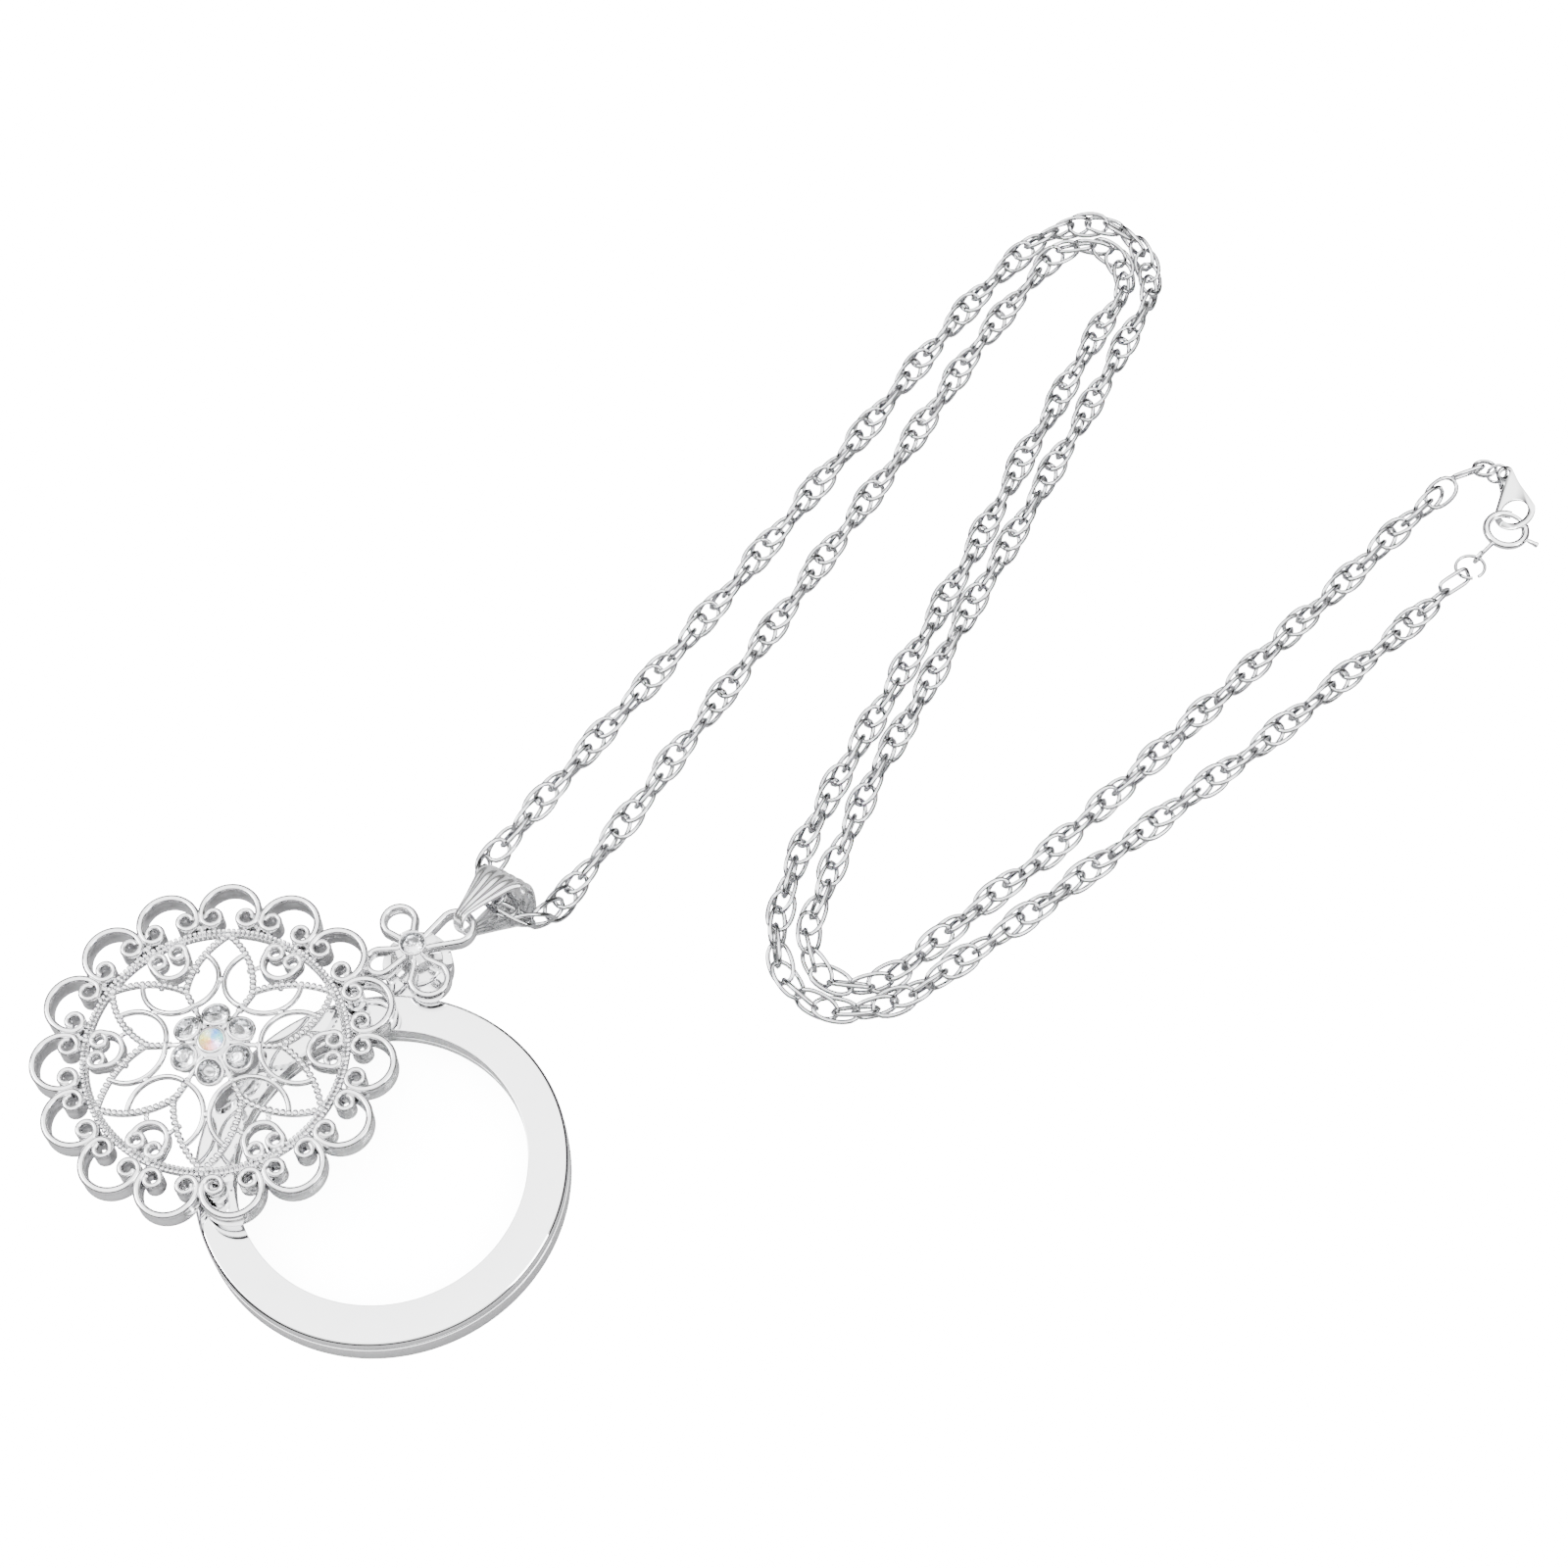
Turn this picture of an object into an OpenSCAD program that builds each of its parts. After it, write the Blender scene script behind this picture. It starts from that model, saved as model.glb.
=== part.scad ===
// Magnifier pendant on a folded chain, lying on a flat surface.
// Origin on the swing axis at the surface, +Z up, +X towards the clasp.

/* [Lens] */
// Outer radius of the lens frame
frame_r = 22; // [20:0.1:24]
// Width of the frame's flat face
frame_face_w = 4.85; // [3:0.05:6]
// Full height of the lens frame
frame_h = 4.6; // [3.6:0.1:6]
// Height of the lower band
frame_band_h = 2.8; // [2:0.1:3.4]
// Distance from the swing axis to the lens middle
frame_reach = 27.2; // [25:0.1:30]
// Direction of the lens from the swing axis
frame_angle = 265.3; // [200:0.1:320]
// Radius of the ear under the flower
ear_r = 4.3; // [3:0.1:4.8]
// Height of the ear
ear_h = 2.6; // [1.8:0.1:3]
// Width of the strap from the ear to the ring
strap_w = 6; // [4:0.1:8]
// Radius of the sphere that shapes each lens face
lens_face_r = 125; // [80:1:300]
// Height of the lens middle over the surface
lens_z = 2.22; // [2.1:0.01:2.3]
// Half the thickness of the lens at its edge
lens_edge = 0.55; // [0.4:0.01:0.6]

/* [Medallion] */
// Distance from the swing axis to the medallion middle
medal_reach = 26.35; // [24:0.05:30]
// Direction of the medallion from the swing axis
medal_angle = 211.3; // [180:0.1:240]
// Height of the top rim over the surface
rim_z = 8.2; // [7.5:0.1:10]
// Height of the scalloped wall
wall_h = 2.9; // [2:0.1:3.4]
// Number of scallops
scallops = 15; // [9:1:21]
// Radius of the circle of scallop middles
scallop_at = 17.95; // [16:0.05:20]
// Outer radius of one scallop
scallop_r = 3.84; // [3:0.02:4.5]
// Thickness of the cast wire
wire = 0.75; // [0.5:0.05:1]
// Inner radius of the beaded ring
bead_in = 15; // [13:0.1:16]
// Outer radius of the beaded ring
bead_out = 16; // [14:0.1:17]
// Middle radius of one curl in a scallop
curl_r = 0.9; // [0.6:0.01:1.2]
// Thickness of the curled ends
curl_w = 0.6; // [0.4:0.01:0.8]
// Number of star points
points = 6; // [5:1:8]
// Direction of the first star point
star_angle = 30; // [0:1:60]
// Slope of the star towards the middle
star_slope = 10; // [0:1:20]
// Radius of the circle of outer stones
stone_at = 3.73; // [3:0.01:5]
// Radius of the stones
stone_r = 1.42; // [1:0.01:2]
// Outer radius of the stone cups
cup_r = 1.8; // [1.7:0.01:1.86]
// Lean of the outer stones
stone_lean = 16; // [0:1:30]

/* [Flower] */
// Radius of the swing bore
bore_r = 1.05; // [0.8:0.01:1.4]
// Running clearance of the rivet in its bore
bore_gap = 0.05; // [0.01:0.01:0.1]
// Radius of the flower stone
flower_stone_r = 1.5; // [1:0.01:2]
// Underside of the flower loops
petal_z = 4.95; // [4.8:0.05:6]
// Height of the flower loops
petal_h = 1.95; // [1:0.05:3]

/* [Bail] */
// Inner radius of the fold
fold_r = 2.55; // [2:0.05:4]
// Inner radius of the narrow end
nose_r = 1.5; // [1:0.05:2]
// Distance between the two ends
fold_reach = 5.1; // [4:0.1:8]
// Thickness of the leaf
leaf = 0.55; // [0.3:0.05:1]
// Distance from the swing axis to the bail's narrow end
bail_reach = 7.7; // [7.4:0.05:8]
// Direction of the bail from the swing axis
bail_dir = 33; // [30:0.5:36]
// Turn, dip and roll of the bail
bail_turn = [36, 12, -22];

/* [Clasp] */
// Middle of the spring ring
spring_at = [142.2, 65.4, 1.25];
// Middle radius of the spring ring
spring_r = 2.62; // [2:0.01:4]
// Radius of its tube
tube_r = 0.53; // [0.4:0.01:0.8]
// Radius of its bolt
bolt_r = 0.3; // [0.2:0.01:0.5]
// Distance from the ring's middle to its eyelet
eye_at = 6.15; // [5.8:0.05:6.5]
// Middle radius of the open jump ring
jump_r = 1.9; // [1.6:0.05:2.2]
// Radius of the tag's large hole
tag_hole_r = 1.85; // [1.6:0.05:2]
// Thickness of the tag
tag_h = 0.4; // [0.3:0.02:0.5]
// Wire radius of the small links
link_r = 0.27; // [0.2:0.01:0.5]

/* [Hidden] */
$fn = 96;

silver = [0.78, 0.79, 0.8];
glass = [0.85, 0.93, 0.97];

rim_bottom = rim_z - wall_h;
ring_z = rim_z - 1.3;
medal_at = [medal_reach * cos(medal_angle), medal_reach * sin(medal_angle), 0];
lens_at = [frame_reach * cos(frame_angle), frame_reach * sin(frame_angle), 0];
frame_open_r = frame_r - frame_face_w;
seat_r = frame_open_r + 0.65;
foot_z = ear_h + 0.15;
head_z = petal_z + 0.05;
cup_top = 8.2;

// Each entry is x, y, z and the radius of the chain there.
route_upper = [
    [9.9, 7.2, 4.9, 1],
    [8.8, 9.2, 4, 1],
    [7.9, 11.4, 2.7, 1.3],
    [8.4, 14.75, 1.85, 1.8],
    [15.25, 24.75, 1.85, 1.8],
    [23, 35, 1.85, 1.8],
    [30.5, 45.5, 1.85, 1.8],
    [38, 56, 1.85, 1.8],
    [45.25, 66.5, 1.85, 1.8],
    [52.75, 77.25, 1.85, 1.8],
    [60, 87.75, 1.85, 1.8],
    [67.25, 98.25, 1.85, 1.8],
    [75, 108.5, 1.85, 1.8],
    [81.75, 115.5, 1.85, 1.8],
    [85.75, 117.5, 1.85, 1.8],
    [89.25, 118, 1.85, 1.8],
    [92.5, 117, 1.85, 1.8],
    [94.75, 114.5, 1.85, 1.8],
    [96.25, 111.25, 1.85, 1.8],
    [96.25, 106.75, 1.85, 1.8],
    [94.25, 100.25, 1.85, 1.8],
    [88.75, 88.75, 1.85, 1.8],
    [82.5, 77.25, 1.85, 1.8],
    [76.5, 66, 1.85, 1.8],
    [70.5, 54.5, 1.85, 1.8],
    [64.75, 43, 1.85, 1.8],
    [59, 31.5, 1.85, 1.8],
    [53.5, 20, 1.85, 1.8],
    [49.25, 9, 1.85, 1.8],
    [48.25, 4.75, 1.85, 1.8],
    [49, 1.25, 1.85, 1.8],
    [51.25, -1, 1.85, 1.8],
    [54.5, -1.5, 1.85, 1.8],
    [57.75, -0.5, 1.85, 1.8],
    [61.75, 2.5, 1.85, 1.8],
    [71.5, 10.25, 1.85, 1.8],
    [81, 18.75, 1.85, 1.8],
    [90.25, 27.75, 1.85, 1.8],
    [99.5, 36.75, 1.85, 1.8],
    [108.5, 45.75, 1.85, 1.8],
    [117.75, 55, 1.85, 1.8],
    [126.5, 64.25, 1.85, 1.8],
    [135.5, 72.75, 1.85, 1.8]];
route_lower = [
    [10.1, 6.9, 5, 1],
    [11.2, 5.4, 5.3, 1],
    [12.4, 4.2, 5.2, 0.9],
    [13.8, 3.95, 4.7, 0.75],
    [15.4, 5.3, 3.6, 0.8],
    [16.9, 7.7, 2.5, 1.2],
    [19, 11.75, 1.85, 1.8],
    [25.5, 21.5, 1.85, 1.8],
    [32.5, 32.25, 1.85, 1.8],
    [39.25, 43.25, 1.85, 1.8],
    [46.25, 54, 1.85, 1.8],
    [53, 65, 1.85, 1.8],
    [59.75, 75.75, 1.85, 1.8],
    [66.5, 86.75, 1.85, 1.8],
    [73, 98, 1.85, 1.8],
    [80.25, 108, 1.85, 1.8],
    [83.25, 111.75, 1.85, 1.8],
    [86.25, 113.5, 1.85, 1.8],
    [89.5, 113.5, 1.85, 1.8],
    [92, 111.25, 1.85, 1.8],
    [92.5, 107.75, 1.85, 1.8],
    [91.75, 104.25, 1.85, 1.8],
    [88, 97, 1.85, 1.8],
    [82, 85.5, 1.85, 1.8],
    [76.25, 74, 1.85, 1.8],
    [70.5, 62.5, 1.85, 1.8],
    [64.75, 51, 1.85, 1.8],
    [58.75, 39.75, 1.85, 1.8],
    [52.75, 28.25, 1.85, 1.8],
    [47.25, 16.75, 1.85, 1.8],
    [44.25, 6.25, 1.85, 1.8],
    [44.5, 1.25, 1.85, 1.8],
    [46, -2.5, 1.85, 1.8],
    [48.5, -4.75, 1.85, 1.8],
    [51.75, -5.75, 1.85, 1.8],
    [55.5, -5.5, 1.85, 1.8],
    [61.25, -3, 1.85, 1.8],
    [71, 4, 1.85, 1.8],
    [81.25, 11.75, 1.85, 1.8],
    [91.25, 19.75, 1.85, 1.8],
    [101.5, 27.75, 1.85, 1.8],
    [111.25, 36, 1.85, 1.8],
    [121, 44.5, 1.85, 1.8],
    [131.75, 53.75, 1.85, 1.8]];
chain_sides = 8;

function xyz(p) = [p[0], p[1], p[2]];
function unit(v) = v / norm(v);
function along(r, i) = unit(xyz(r[min(i + 1, len(r) - 1)]) - xyz(r[max(i - 1, 0)]));
function side(r, i) = unit(cross([0, 0, 1], along(r, i)));
function ring(r, i) = [for (k = [0:chain_sides - 1])
    let (a = 360 * (k + 0.5) / chain_sides)
    xyz(r[i]) + r[i][3] * (cos(a) * side(r, i) + sin(a) * cross(along(r, i), side(r, i)))];
function quad(i, k) = [i * chain_sides + k, i * chain_sides + (k + 1) % chain_sides,
    (i + 1) * chain_sides + (k + 1) % chain_sides, (i + 1) * chain_sides + k];

module swept(r) {
    n = len(r);
    polyhedron(
        points = [for (i = [0:n - 1]) each ring(r, i)],
        faces = concat(
            [[for (k = [0:chain_sides - 1]) k]],
            [for (i = [0:n - 2]) for (k = [0:chain_sides - 1]) [quad(i, k)[0], quad(i, k)[2], quad(i, k)[1]]],
            [for (i = [0:n - 2]) for (k = [0:chain_sides - 1]) [quad(i, k)[0], quad(i, k)[3], quad(i, k)[2]]],
            [[for (k = [chain_sides - 1:-1:0]) (n - 1) * chain_sides + k]]));
}

module band2d(r, w) {
    difference() {
        circle(r = r + w / 2);
        circle(r = r - w / 2);
    }
}

module torus(r, w) {
    rotate_extrude()
        translate([r, 0])
            circle(r = w, $fn = 24);
}

module cut_stone(r) {
    rotate_extrude($fn = 12)
        polygon([[0, -0.62 * r], [r, -0.06 * r], [r, 0.04 * r], [0.58 * r, 0.34 * r], [0, 0.34 * r]]);
}

// Flat outline of one star point, its tip on the +X side.
module star_point2d() {
    for (s = [-1, 1])
        scale([1, s]) {
            intersection() {
                translate([6.9, -6.74])
                    band2d(10.69, 0.75);
                polygon([[6.7, 2.6], [6.7, 5], [12, 5], [15.7, 0.9], [15.7, -0.25], [13.6, -0.25]]);
            }
            intersection() {
                translate([8.7, 4.6])
                    band2d(4.25, 0.6);
                polygon([[5, -0.2], [12.6, -0.2], [12.6, 2.5], [5, 2.2]]);
            }
        }
    translate([8.7, 0])
        circle(r = 0.55);
}

module star() {
    for (k = [0:points - 1])
        rotate(360 * k / points)
            translate([bead_in, 0, ring_z])
                rotate([0, star_slope, 0])
                    translate([-bead_in, 0, -0.5])
                        linear_extrude(1)
                            star_point2d();
    for (k = [0:points - 1])
        rotate(360 * (k + 0.5) / points)
            translate([4.8, -0.35, rim_z - 0.3])
                cube([3.7, 0.7, 0.95]);
}

module kidney_scrolls() {
    translate([0, 0, rim_bottom + 0.4])
        linear_extrude(rim_z - rim_bottom - 1)
            for (k = [0:points - 1])
                rotate(360 * (k + 0.5) / points) {
                    intersection() {
                        translate([13.2, 0])
                            band2d(2.15, wire);
                        translate([10, -3])
                            square([3.9, 6]);
                    }
                    for (s = [-1, 1])
                        translate([13.9, 1.28 * s])
                            band2d(curl_r, curl_w);
                }
    for (k = [0:points - 1])
        for (s = [-1, 1])
            rotate(360 * (k + 0.5) / points)
                translate([10.75, 2 * s, rim_bottom + 1])
                    cylinder(r = 0.6, h = 1.6);
}

module scallop_wall() {
    translate([0, 0, rim_bottom])
        linear_extrude(wall_h)
            difference() {
                for (k = [0:scallops - 1])
                    rotate(360 * (k + 0.5) / scallops) {
                        translate([scallop_at, 0])
                            band2d(scallop_r - wire / 2, wire);
                        for (s = [-1, 1])
                            translate([scallop_at - 0.6, 2 * s])
                                band2d(curl_r, curl_w);
                    }
                circle(r = bead_out - 0.12);
            }
    translate([0, 0, ring_z - 0.5])
        linear_extrude(1)
            band2d((bead_in + bead_out) / 2, bead_out - bead_in);
}

module cup(r, h) {
    translate([0, 0, -h])
        cylinder(r = r, h = h);
}

module stone_cups() {
    difference() {
        union() {
            rotate_extrude()
                polygon([[0, rim_z - 0.3], [5.75, rim_z - 0.35], [5.75, rim_z + 0.45], [2.2, rim_z + 1], [0, rim_z + 1]]);
            translate([0, 0, rim_z + 2.05])
                cup(cup_r, 1.4);
            for (k = [0:points - 1])
                cluster_place(k)
                    cup(cup_r, 1.4);
        }
        translate([0, 0, rim_z + 1.05])
            cylinder(r = stone_r + 0.06, h = 2);
        for (k = [0:points - 1])
            cluster_place(k)
                translate([0, 0, -1])
                    cylinder(r = stone_r + 0.06, h = 2);
    }
}

module cluster_place(k) {
    rotate(360 * k / points)
        translate([stone_at, 0, rim_z + 1.15])
            rotate([0, stone_lean, 0])
                children();
}

module medal_place() {
    translate(medal_at)
        rotate(star_angle)
            children();
}

module loop_petal(a, reach, r, w) {
    rotate(a)
        translate([0, 0, petal_z])
            linear_extrude(petal_h)
                difference() {
                    union() {
                        translate([reach, 0])
                            circle(r = r);
                        polygon([[1, -1.2], [reach, 0.1 - r], [reach, r - 0.1], [1, 1.2]]);
                    }
                    translate([reach, 0])
                        circle(r = r - w);
                    polygon([[3, -0.3], [reach, 0.1 + w - r], [reach, r - w - 0.1], [3, 0.3]]);
                }
}

module flower() {
    difference() {
        union() {
            translate([0, 0, foot_z])
                cylinder(r = 3.2, h = 0.8);
            translate([0, 0, foot_z + 0.7])
                cylinder(r = 2.1, h = cup_top - foot_z - 0.7);
            loop_petal(118.5, 5, 2.6, 0.95);
            loop_petal(32, 5.75, 2.6, 0.95);
            loop_petal(292, 5.3, 1.95, 0.85);
            loop_petal(203, 4.4, 2, 0.85);
        }
        translate([0, 0, foot_z - 1])
            cylinder(r = bore_r, h = head_z - foot_z + 1.1);
        translate([0, 0, head_z])
            cylinder(r = bore_r + 0.4, h = cup_top - head_z - 1);
        translate([0, 0, cup_top - 1.1])
            cylinder(r = flower_stone_r + 0.06, h = 2);
    }
}

module medallion() {
    color(silver)
        union() {
            medal_place() {
                scallop_wall();
                kidney_scrolls();
                star();
                stone_cups();
            }
            flower();
        }
}

module centre_stone() {
    color(glass)
        medal_place()
            translate([0, 0, rim_z + 2])
                cut_stone(stone_r);
}

module cluster_stone(k) {
    color(glass)
        medal_place()
            cluster_place(k)
                translate([0, 0, -0.05])
                    cut_stone(stone_r);
}

module flower_stone() {
    color(glass)
        translate([0, 0, cup_top - 0.05])
            cut_stone(flower_stone_r);
}

module pivot_rivet() {
    color(silver) {
        translate([0, 0, 0.65])
            cylinder(r = bore_r - bore_gap, h = head_z - 0.55);
        translate([0, 0, head_z + 0.05])
            cylinder(r = bore_r + 0.3, h = 0.55);
    }
}

module lens_frame() {
    color(silver)
        difference() {
            union() {
                translate(lens_at)
                    rotate_extrude()
                        polygon([
                            [frame_open_r, 0], [frame_r - 0.2, 0], [frame_r, 0.2], [frame_r, frame_band_h],
                            [seat_r, frame_band_h], [seat_r, 1.6], [frame_open_r, 1.6]]);
                cylinder(r = ear_r, h = ear_h);
                rotate(frame_angle)
                    translate([2, -strap_w / 2, 0])
                        cube([frame_reach - frame_r - 0.6, strap_w, ear_h]);
            }
            translate([0, 0, 0.6])
                cylinder(r = bore_r - bore_gap + 0.02, h = ear_h);
        }
}

module lens_rim() {
    z = frame_band_h + 0.06;
    color(silver)
        translate(lens_at)
            rotate_extrude()
                polygon([
                    [frame_open_r, z], [frame_r - 0.5, z], [frame_r - 0.5, z + 0.4], [frame_r - 0.05, z + 0.5],
                    [frame_r - 0.05, frame_h - 0.75], [frame_r - 0.35, frame_h - 0.32], [frame_r - 1.1, frame_h],
                    [frame_open_r + 0.15, frame_h], [frame_open_r, frame_h - 0.15]]);
}

module lens() {
    sag = lens_face_r - sqrt(lens_face_r * lens_face_r - seat_r * seat_r);
    color(glass)
        translate(lens_at)
            rotate_extrude()
                intersection() {
                    translate([0, lens_z + lens_edge + sag - lens_face_r])
                        circle(r = lens_face_r, $fn = 1440);
                    translate([0, lens_z - lens_edge - sag + lens_face_r])
                        circle(r = lens_face_r, $fn = 1440);
                    square([seat_r - 0.1, 6]);
                }
}

module leaf_loop2d(grow) {
    circle(r = nose_r + grow);
    translate([fold_reach, 0])
        circle(r = fold_r + grow);
    polygon([
        [-0.25, -nose_r - grow + 0.03], [fold_reach - 0.5, -fold_r - grow + 0.06],
        [fold_reach - 0.5, fold_r + grow - 0.06], [-0.25, nose_r + grow - 0.03]]);
}

module bail() {
    color(silver)
        translate([bail_reach * cos(bail_dir), bail_reach * sin(bail_dir), petal_z + petal_h / 2])
            rotate([0, 0, bail_turn[0]])
                rotate([0, bail_turn[1], 0])
                    rotate([bail_turn[2], 0, 0])
                        intersection() {
                            rotate([90, 0, 0])
                                translate([0, 0, -5])
                                    linear_extrude(10)
                                        difference() {
                                            leaf_loop2d(leaf);
                                            leaf_loop2d(0);
                                        }
                            translate([0, 0, -6])
                                linear_extrude(12)
                                    polygon([
                                        [-2.6, -0.75], [-0.5, -0.82], [6, -3.3], [7.5, -2.95], [8.6, -1.9],
                                        [8.6, 1.9], [7.5, 2.95], [6, 3.3], [-0.5, 1], [-2.6, 0.95]]);
                        }
}

module chain_upper() {
    color(silver)
        swept(route_upper);
}

module chain_lower() {
    color(silver)
        swept(route_lower);
}

module oval_link(length, width, w) {
    straight = length - width;
    for (s = [-1, 1]) {
        translate([s * straight / 2, 0, 0])
            rotate(s * 90)
                translate([0, 0, 0])
                    rotate_extrude(angle = -180)
                        translate([width / 2 - w, 0])
                            circle(r = w, $fn = 24);
        translate([-straight / 2, s * (width / 2 - w), 0])
            rotate([0, 90, 0])
                cylinder(r = w, h = straight, $fn = 24);
    }
}

module long_link() {
    color(silver)
        translate([134.25, 56.99, 1.18])
            rotate(35)
                rotate([48.5, 0, 0])
                    oval_link(5.3, 2.6, link_r);
}

module jump_ring() {
    color(silver)
        translate([136.63, 59.38, 1.22])
            rotate([-4.3, -7.7, 0])
                rotate([0, 0, -64])
                    rotate_extrude(angle = 337)
                        translate([jump_r, 0])
                            circle(r = 0.24, $fn = 24);
}

module spring_ring() {
    color(silver)
        translate(spring_at)
            difference() {
                union() {
                    rotate(60)
                        rotate_extrude(angle = 312)
                            translate([spring_r, 0])
                                circle(r = tube_r);
                    rotate(226)
                        translate([spring_r + tube_r - 0.1, -0.25, -0.5])
                            cube([2.2, 0.5, 1]);
                    rotate(226)
                        translate([eye_at, 0.25, 0])
                            rotate([90, 0, 0])
                                cylinder(r = 1.05, h = 0.5);
                }
                rotate(40)
                    rotate_extrude(angle = 352)
                        translate([spring_r, 0])
                            circle(r = bolt_r + 0.06);
                rotate(-84)
                    rotate_extrude(angle = 62)
                        translate([spring_r, -0.28])
                            square([2, 0.56]);
                rotate(226)
                    translate([eye_at, 1, 0])
                        rotate([90, 0, 0])
                            cylinder(r = 0.55, h = 2);
            }
}

module spring_bolt() {
    color(silver)
        translate(spring_at) {
            rotate(-45)
                rotate_extrude(angle = 112)
                    translate([spring_r, 0])
                        circle(r = bolt_r);
            rotate(-33) {
                translate([spring_r, 0, 0])
                    rotate([0, 90, 0])
                        cylinder(r = 0.22, h = 1.2, $fn = 24);
                translate([spring_r + tube_r + 0.15, 0, 0])
                    rotate([0, 90, 0])
                        cylinder(r1 = 0.3, r2 = 0.42, h = 1.4, $fn = 24);
            }
        }
}

module tag() {
    color(silver)
        translate([143.63, 68.16, 1.5])
            rotate(-19)
                rotate([0, -29.7, 0])
                    rotate(19)
                        rotate([8.5, 0, 0])
                            translate([0, 0, -tag_h / 2])
                                difference() {
                                    union() {
                                        cylinder(r = 2.8, h = tag_h);
                                        translate([-0.3, 6.6, 0])
                                            cylinder(r = 1.25, h = tag_h);
                                        linear_extrude(tag_h)
                                            polygon([[-2.65, 0.2], [-1.4, 6.6], [0.8, 6.6], [2.65, 0.2]]);
                                    }
                                    translate([0, 0, -1])
                                        cylinder(r = tag_hole_r, h = 2);
                                    translate([-0.3, 6.6, -1])
                                        cylinder(r = 0.6, h = 2);
                                }
}

module tag_ring() {
    color(silver)
        translate([142.13, 74.61, 1.41])
            rotate([0, 0, 3.7])
                rotate([63.2, 0, 0])
                    torus(1.3, 0.22);
}

module split_ring() {
    color(silver)
        translate([140.47, 75.34, 1.6])
            rotate([0, 0, 20])
                rotate([-13.4, -1, 0])
                    for (s = [-1, 1])
                        translate([0, 0, s * 0.2])
                            torus(1.5, 0.25);
}

module end_link() {
    color(silver)
        translate([137.99, 74.58, 1.66])
            rotate(21.7)
                rotate([79.1, 0, 0])
                    oval_link(5.2, 2.6, link_r);
}

medallion();
centre_stone();
cluster_stone(0);  // cluster_stone_1
cluster_stone(1);  // cluster_stone_2
cluster_stone(2);  // cluster_stone_3
cluster_stone(3);  // cluster_stone_4
cluster_stone(4);  // cluster_stone_5
cluster_stone(5);  // cluster_stone_6
flower_stone();
pivot_rivet();
lens_frame();
lens_rim();
lens();
bail();
chain_upper();
chain_lower();
long_link();
jump_ring();
spring_ring();
spring_bolt();
tag();
tag_ring();
split_ring();
end_link();
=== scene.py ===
# %% [markdown]
# # A folding magnifier pendant
# The necklace lies on a pale table: a pierced medallion covers part of a round lens, and a long
# twisted chain runs through the bail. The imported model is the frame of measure, so it is loaded
# first and every new piece is built in its place. Sizes are in millimetres, and a finished mesh
# is in metres.

# %% Load the frame
import math
import bmesh
import bpy
import numpy as np
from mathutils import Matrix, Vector


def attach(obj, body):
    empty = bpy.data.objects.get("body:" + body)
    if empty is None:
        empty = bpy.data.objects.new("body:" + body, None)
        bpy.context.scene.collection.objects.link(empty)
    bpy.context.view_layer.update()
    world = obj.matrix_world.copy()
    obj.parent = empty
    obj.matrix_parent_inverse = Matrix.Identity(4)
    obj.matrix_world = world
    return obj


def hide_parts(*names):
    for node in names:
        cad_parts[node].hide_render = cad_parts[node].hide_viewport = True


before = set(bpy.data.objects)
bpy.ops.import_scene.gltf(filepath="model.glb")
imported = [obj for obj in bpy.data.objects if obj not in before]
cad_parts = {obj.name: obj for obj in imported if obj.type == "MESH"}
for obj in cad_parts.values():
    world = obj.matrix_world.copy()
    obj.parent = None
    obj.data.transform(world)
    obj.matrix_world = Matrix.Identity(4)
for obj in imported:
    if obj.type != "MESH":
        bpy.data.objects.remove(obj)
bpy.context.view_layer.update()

MM = 0.001

# %% [markdown]
# ## Mesh helpers
# Jewellery is mostly wire and turned metal. Wire is a section carried along a path, and turned
# metal is a profile carried round an axis. Both are grids of points, so numpy can work out all
# of them at once, and the grid's neighbours are the faces.

# %% A shell is points and faces
def unit(v):
    """Each vector divided by its length."""
    return v / np.maximum(np.linalg.norm(v, axis=-1, keepdims=True), 1e-12)


def grid_faces(rows, columns, wrap_rows, wrap_columns):
    """Quads of a grid: each point with the next in its row, and the same two in the next row."""
    i = np.arange(rows if wrap_rows else rows - 1)[:, None]
    k = np.arange(columns if wrap_columns else columns - 1)[None, :]
    a, b = i * columns + k, i * columns + (k + 1) % columns
    c, d = ((i + 1) % rows) * columns + (k + 1) % columns, ((i + 1) % rows) * columns + k
    return np.stack([a, b, c, d], -1).reshape(-1, 4)


def end_faces(rows, columns):
    """The two flat ends of a stack of rings: the first ring turned round, and the last one."""
    last = (rows - 1) * columns
    return [list(range(columns))[::-1], [last + k for k in range(columns)]]


def sweep(path, section, closed=False, grow=None):
    """A section carried along a path: point = path + grow * x * side + y * top, where side is the
    Z axis crossed with the direction of travel and top is at a right angle to both."""
    path, section = np.asarray(path, float), np.asarray(section, float)
    if closed:
        travel = unit(np.roll(path, -1, 0) - np.roll(path, 1, 0))
    else:
        travel = unit(np.gradient(path, axis=0))
    side = unit(np.cross([0, 0, 1], travel))
    top = np.cross(travel, side)
    grow = np.ones(len(path)) if grow is None else np.asarray(grow, float)
    x, y = section[None, :, 0, None], section[None, :, 1, None]
    points = path[:, None] + grow[:, None, None] * x * side[:, None] + y * top[:, None]
    faces = grid_faces(len(path), len(section), closed, True).tolist()
    return points.reshape(-1, 3), faces if closed else faces + end_faces(len(path), len(section))


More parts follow.
